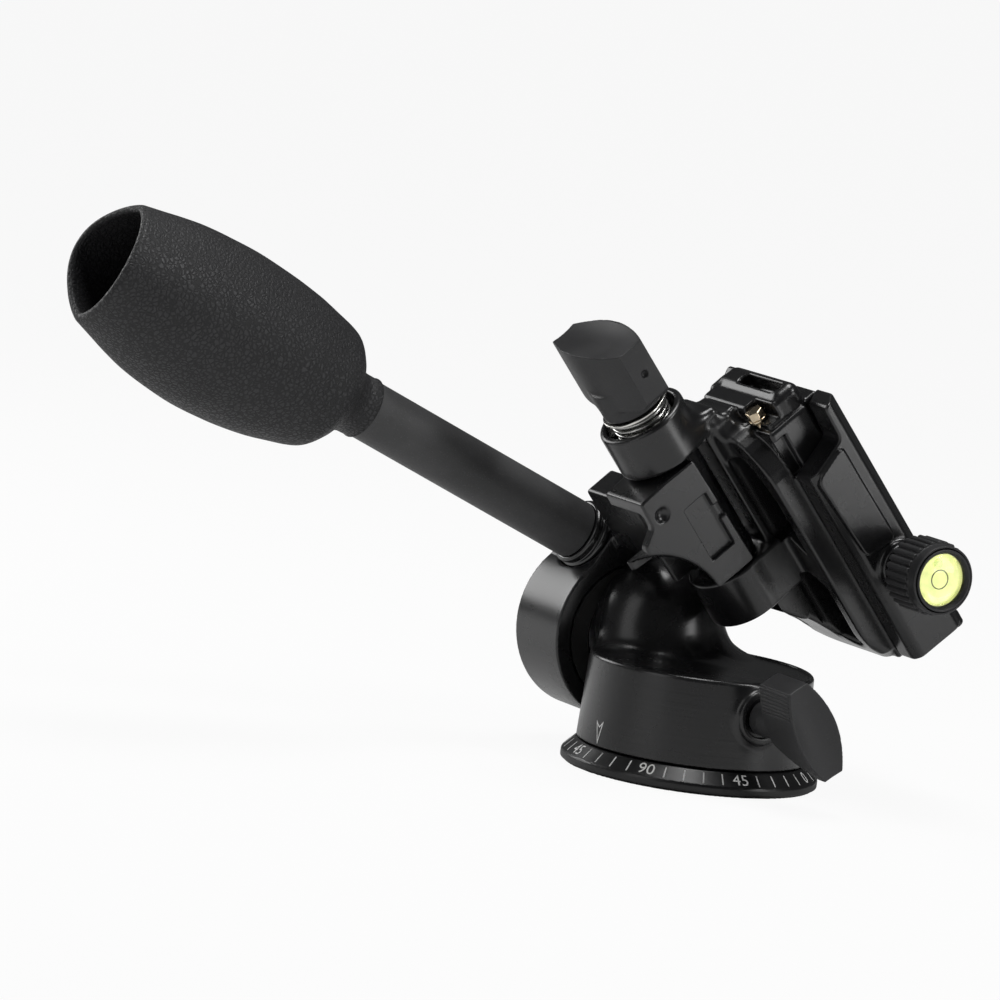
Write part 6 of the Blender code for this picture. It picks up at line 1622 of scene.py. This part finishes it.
class VIDEOHEAD_OT_roll_hardware(PieceMaker, bpy.types.Operator):
    """Make the roll joint's washers and coil spring"""

    bl_idname = "video_head.roll_hardware"
    bl_label = "Roll Washers and Spring"

    def make(self, sizes):
        for name, node, low, high in (
            ("inner_washer", "roll_washer_inner", -54.9, -54.3),
            ("outer_washer", "roll_washer_outer", -61.9, -61.3),
        ):
            rows = ((4.3, high), (8.3, high), (8.3, low), (4.3, low))
            turned_piece(
                name, rows, 0.18, ROLL_AXIS, 128, "clamp", "roll_zinc", "bright_steel", node
            )
        wound = {"Turns": 3.5, "Radius": 6.9, "Height": 4.9, "Wire Radius": 0.45}
        wound["Finish"] = finish("spring")
        place = place_in(ROLL, (-60.55, 0, 0), turn_y(90))
        coil = grown("coil_spring", make_coil_tree, wound, place)
        add_piece("coil_spring", coil, "clamp", "spring", "bright_steel", "roll_spring")


class VIDEOHEAD_OT_wing_knobs(PieceMaker, bpy.types.Operator):
    """Make the two wing knobs and the ribs of the lower one"""

    bl_idname = "video_head.wing_knobs"
    bl_label = "Wing Knobs"

    def make(self, sizes):
        cast_piece(
            "roll_wing", roll_wing_form, (-14.6, -7.8, 0), (14.6, 7.8, 20.2), 0.36, ROLL_LOCK,
            "roll_knob", "plastic", "black_plastic", "roll_lock_knob",
        )
        cast_piece(
            "pan_wing", pan_wing_form, (-13.6, -7.0, 0), (13.6, 7.0, 22.1), 0.34, PAN_LOCK,
            "pan_knob", "plastic", "black_plastic", "pan_lock_knob",
        )
        outline = lens_rows(*PAN_SIZE[:3], 200)[:200]
        spots = []
        for index in range(8):
            at = -11.6 + index * 0.82
            side = min(outline, key=lambda row: abs(row[0] - at))[1] - 0.02
            for way in (-1, 1):
                spots.append((at + PAN_SHIFT[0], way * side + PAN_SHIFT[1], 14.6))
        guide = linked("rib_guide", bpy.data.meshes.new("rib_guide"))
        guide.data.from_pydata(spots, [], [])
        rows = [(0, 6.0), (0.22, 6.0), (0.22, -6.0), (0, -6.0)]
        bar = linked("rib_bar", turned("bar", rows, PART, 10, 0.2, support=0))
        inputs = {"Guide": guide, "Part": bar, "Finish": finish("plastic")}
        ribs = grown("wing_ribs", make_row_tree, inputs, PAN_LOCK)
        add_piece("wing_ribs", ribs, "pan_knob", "plastic", "black_plastic")


class VIDEOHEAD_OT_clamp_knob(PieceMaker, bpy.types.Operator):
    """Make the ribbed clamp knob and its bezel"""

    bl_idname = "video_head.clamp_knob"
    bl_label = "Clamp Knob"

    def make(self, sizes):
        rows = (
            (2.8, 30.6), (2.8, 40.4), (7.7, 40.4), (7.7, 45.4), (8.3, 45.4), (8.3, 42.9),
            (8.45, 42.5), (8.45, 34.6), (7.6, 33.2), (5.6, 32.4), (5.6, 30.6),
        )
        turned_piece(
            "knob_body", rows, 0.4, CLAMP, 192, "knob", "plastic", "black_plastic", "clamp_knob"
        )
        rib = sizes.rib_radius / MM
        rows = [(0, 42.6), (rib, 42.6), (rib, 33.9), (0, 33.9)]
        bar = turned("rib", rows, PART, 16, rib * 0.9, 5, 0)
        ribs = round_set("knob_ribs", bar, CLAMP, sizes.rib_count, 9.0 - rib, 0.0, "plastic")
        add_piece("knob_ribs", ribs, "knob", "plastic", "black_plastic")
        rows = ((6.35, 43.9), (6.35, 44.9), (6.95, 45.8), (7.45, 45.8), (7.45, 43.9))
        turned_piece(
            "bezel_ring", rows, 0.25, CLAMP, 160, "knob", "plastic", "black_plastic",
            "knob_bezel",
        )


# Name, profile, edge, frame, steps, finish, slot and node of the level's pieces
BUBBLE_ROWS = [(1.2 * sin(pi * k / 16), 0.30 * cos(pi * k / 16)) for k in range(17)]
LEVEL_PIECES = (
    ("cup_of_level",
     ((0, 41.2), (6.1, 41.2), (6.5, 43.6), (7.3, 43.6), (7.3, 40.7), (0, 40.7)),
     0.15, CLAMP, 128, "cup", "vial_white", "vial_cup"),
    ("fluid_of_level", ((0, 43.3), (5.35, 43.3), (5.75, 42.9), (5.75, 41.4), (0, 41.4)),
     0.2, CLAMP, 128, "fluid", "vial_fluid", "level_fluid"),
    ("ring_of_level", ((2.12, 43.42), (2.34, 43.42), (2.34, 43.28), (2.12, 43.28)),
     0.0, CLAMP, 96, "ring", "black_plastic"),
    ("bubble_of_level", BUBBLE_ROWS,
     0.0, place_in(CLAMP, (-3.3, 1.6, 43.32)), 48, "bubble", "vial_bubble", "level_bubble"),
    ("lens_of_level",
     ((0, 45.25), (2.5, 45.2), (4.6, 45.0), (5.7, 44.7), (6.2, 44.3), (6.2, 43.75), (0, 43.75)),
     0.3, CLAMP, 128, "lens", "lens", "level_lens"),
)


class VIDEOHEAD_OT_level(PieceMaker, bpy.types.Operator):
    """Make the round bubble level in the clamp knob"""

    bl_idname = "video_head.level"
    bl_label = "Bubble Level"

    def make(self, sizes):
        for name, rows, edge, place, steps, *rest in LEVEL_PIECES:
            turned_piece(name, rows, edge, place, steps, "knob", *rest)


INNER_FINISHES = {
    "alloy": ("pan_hub", "tilt_hub"),
    "bearing": ("lower_pan_washer", "upper_pan_washer", "tilt_washer_near", "tilt_washer_far"),
    "bronze": ("pan_brake_shoe", "roll_bush_rear", "roll_bush_front", "tilt_brake_wedge"),
    "casting": ("pan_retainer_ring",),
}


class VIDEOHEAD_OT_inner_parts(PieceMaker, bpy.types.Operator):
    """Give the carried-over inner parts their metals and plastics"""

    bl_idname = "video_head.inner_parts"
    bl_label = "Inner Parts"

    def make(self, sizes):
        labels = {name: label for label, names in INNER_FINISHES.items() for name in names}
        for name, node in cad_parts.items():
            if not node.hide_render:
                node.data.materials.clear()
                node.data.materials.append(finish(labels.get(name, "zinc")))


# Stage

SENSOR = 36.0
AIM = (0.0, 0.0, 0.04)
# Name, place, aim, size and power of each lamp
LAMPS = (
    ("right_panel", (0.30, -0.43, 0.13), (0.04, -0.03, 0.07), (0.13, 0.20), 0.33),
    ("left_panel", (-0.58, -0.12, 0.26), (0.0, 0.0, 0.05), (0.28, 0.50), 0.40),
    ("back_panel", (-0.32, 0.55, 0.26), (0.0, 0.0, 0.05), (0.34, 0.30), 1.2),
    ("overhead", (-0.05, 0.05, 0.85), AIM, (0.36, 0.36), 3.6),
    ("key", (0.45, -0.75, 0.85), AIM, (0.26, 0.26), 3.4),
)


def camera_matrix():
    """Place and lens of the camera, from the turn, rise and roll of the photo."""
    turn, rise, roll = (radians(angle) for angle in (31.59, 7.24, 7.36))
    back = np.array([-sin(turn) * cos(rise), -cos(turn) * cos(rise), sin(rise)])
    right = np.array([cos(turn), -sin(turn), 0.0])
    up = np.cross(back, right)
    across = cos(roll) * right + sin(roll) * up
    axes = np.array([across, -sin(roll) * right + cos(roll) * up, back])
    distance = 1600.0
    focus = 4.17 * distance
    left, rise_up = ((at - 500) / focus * distance for at in (687.84, 772.36))
    spot = axes.T @ np.array([-left, rise_up, distance])
    return Matrix.Translation(Vector(spot * MM)) @ rigid(axes.T), focus * SENSOR / 1000.0


def area_light(name, spot, aim, size, power):
    data = bpy.data.lights.new(name, "AREA")
    data.shape = "RECTANGLE"
    data.size, data.size_y = size
    data.energy = power
    item = linked(name, data)
    item.location = spot
    item.rotation_euler = (Vector(aim) - Vector(spot)).to_track_quat("-Z", "Y").to_euler()


def paper():
    """Pale paper that the camera sees as white, with the object's shadow on it."""
    material, tree, shader, vector = start_material("floor_paper", (0.86, 0.86, 0.86), 0.7)
    patches = use_grain(tree, vector, 3.0)["Patches"]
    tone = colour_mix(tree, patches, (0.855, 0.855, 0.855), (0.865, 0.865, 0.865))
    plug(tree, tone, shader["Base Color"])
    rays = add_node(tree, "ShaderNodeLightPath").outputs
    seen = math(tree, "MAXIMUM", rays["Is Camera Ray"], rays["Is Transmission Ray"])
    glow = add_node(tree, "ShaderNodeEmission", {"Color": (1, 1, 1, 1), "Strength": 1.0})
    links = {0: math(tree, "MULTIPLY", seen, 0.93), 2: glow.outputs[0]}
    links[1] = tree.nodes["Principled BSDF"].outputs[0]
    mixed = add_node(tree, "ShaderNodeMixShader", links)
    output = [n for n in tree.nodes if n.type == "OUTPUT_MATERIAL"][0]
    plug(tree, mixed.outputs[0], output.inputs["Surface"])
    return material


class VIDEOHEAD_OT_stage(PieceMaker, bpy.types.Operator):
    """Set the floor, the lights and the camera"""

    bl_idname = "video_head.stage"
    bl_label = "Stage"

    def make(self, sizes):
        scene = bpy.context.scene
        mesh = bpy.data.meshes.new("floor")
        mesh.from_pydata([(-9, -9, 0), (9, -9, 0), (9, 9, 0), (-9, 9, 0)], [], [(0, 1, 2, 3)])
        mesh.materials.append(paper())
        linked("floor", mesh)
        world = bpy.data.worlds.new("studio")
        scene.world = world
        world.use_nodes = True
        background = world.node_tree.nodes["Background"].inputs
        background["Color"].default_value = (0.86, 0.87, 0.88, 1.0)
        background["Strength"].default_value = 0.06
        for lamp in LAMPS:
            area_light(*lamp)
        data = bpy.data.cameras.new("camera")
        scene.camera = linked("camera", data)
        scene.camera.matrix_world, data.lens = camera_matrix()
        data.sensor_width = SENSOR
        data.clip_start = 0.05
        data.clip_end = 50.0
        scene.view_settings.view_transform = "Standard"


OPERATORS = (
    VIDEOHEAD_OT_base,
    VIDEOHEAD_OT_housing,
    VIDEOHEAD_OT_bracket,
    VIDEOHEAD_OT_handle,
    VIDEOHEAD_OT_bed,
    VIDEOHEAD_OT_jaw,
    VIDEOHEAD_OT_roll_hardware,
    VIDEOHEAD_OT_wing_knobs,
    VIDEOHEAD_OT_clamp_knob,
    VIDEOHEAD_OT_level,
    VIDEOHEAD_OT_inner_parts,
    VIDEOHEAD_OT_stage,
)


class VIDEOHEAD_PT_panel(bpy.types.Panel):
    """Pieces of the video head, and the sizes and colours they are made with"""

    bl_idname = "VIDEOHEAD_PT_panel"
    bl_label = "Fluid Video Head"
    bl_space_type = "VIEW_3D"
    bl_region_type = "UI"
    bl_category = "Video Head"

    def draw(self, context):
        layout = self.layout
        for operator in OPERATORS:
            layout.operator(operator.bl_idname)
        for group in (context.scene.video_head_sizes, context.scene.video_head_colours):
            box = layout.box()
            for name in group.__annotations__:
                box.prop(group, name)


CLASSES = (VideoHeadSizes, VideoHeadColours, *OPERATORS, VIDEOHEAD_PT_panel)


def register():
    for item in CLASSES:
        bpy.utils.register_class(item)
    bpy.types.Scene.video_head_sizes = PointerProperty(type=VideoHeadSizes)
    bpy.types.Scene.video_head_colours = PointerProperty(type=VideoHeadColours)


def unregister():
    del bpy.types.Scene.video_head_colours
    del bpy.types.Scene.video_head_sizes
    for item in reversed(CLASSES):
        bpy.utils.unregister_class(item)


def main():
    """Registers the add-on and makes every piece in order."""
    register()
    for operator in OPERATORS:
        category, name = operator.bl_idname.split(".")
        getattr(getattr(bpy.ops, category), name)()


if __name__ == "__main__":
    main()
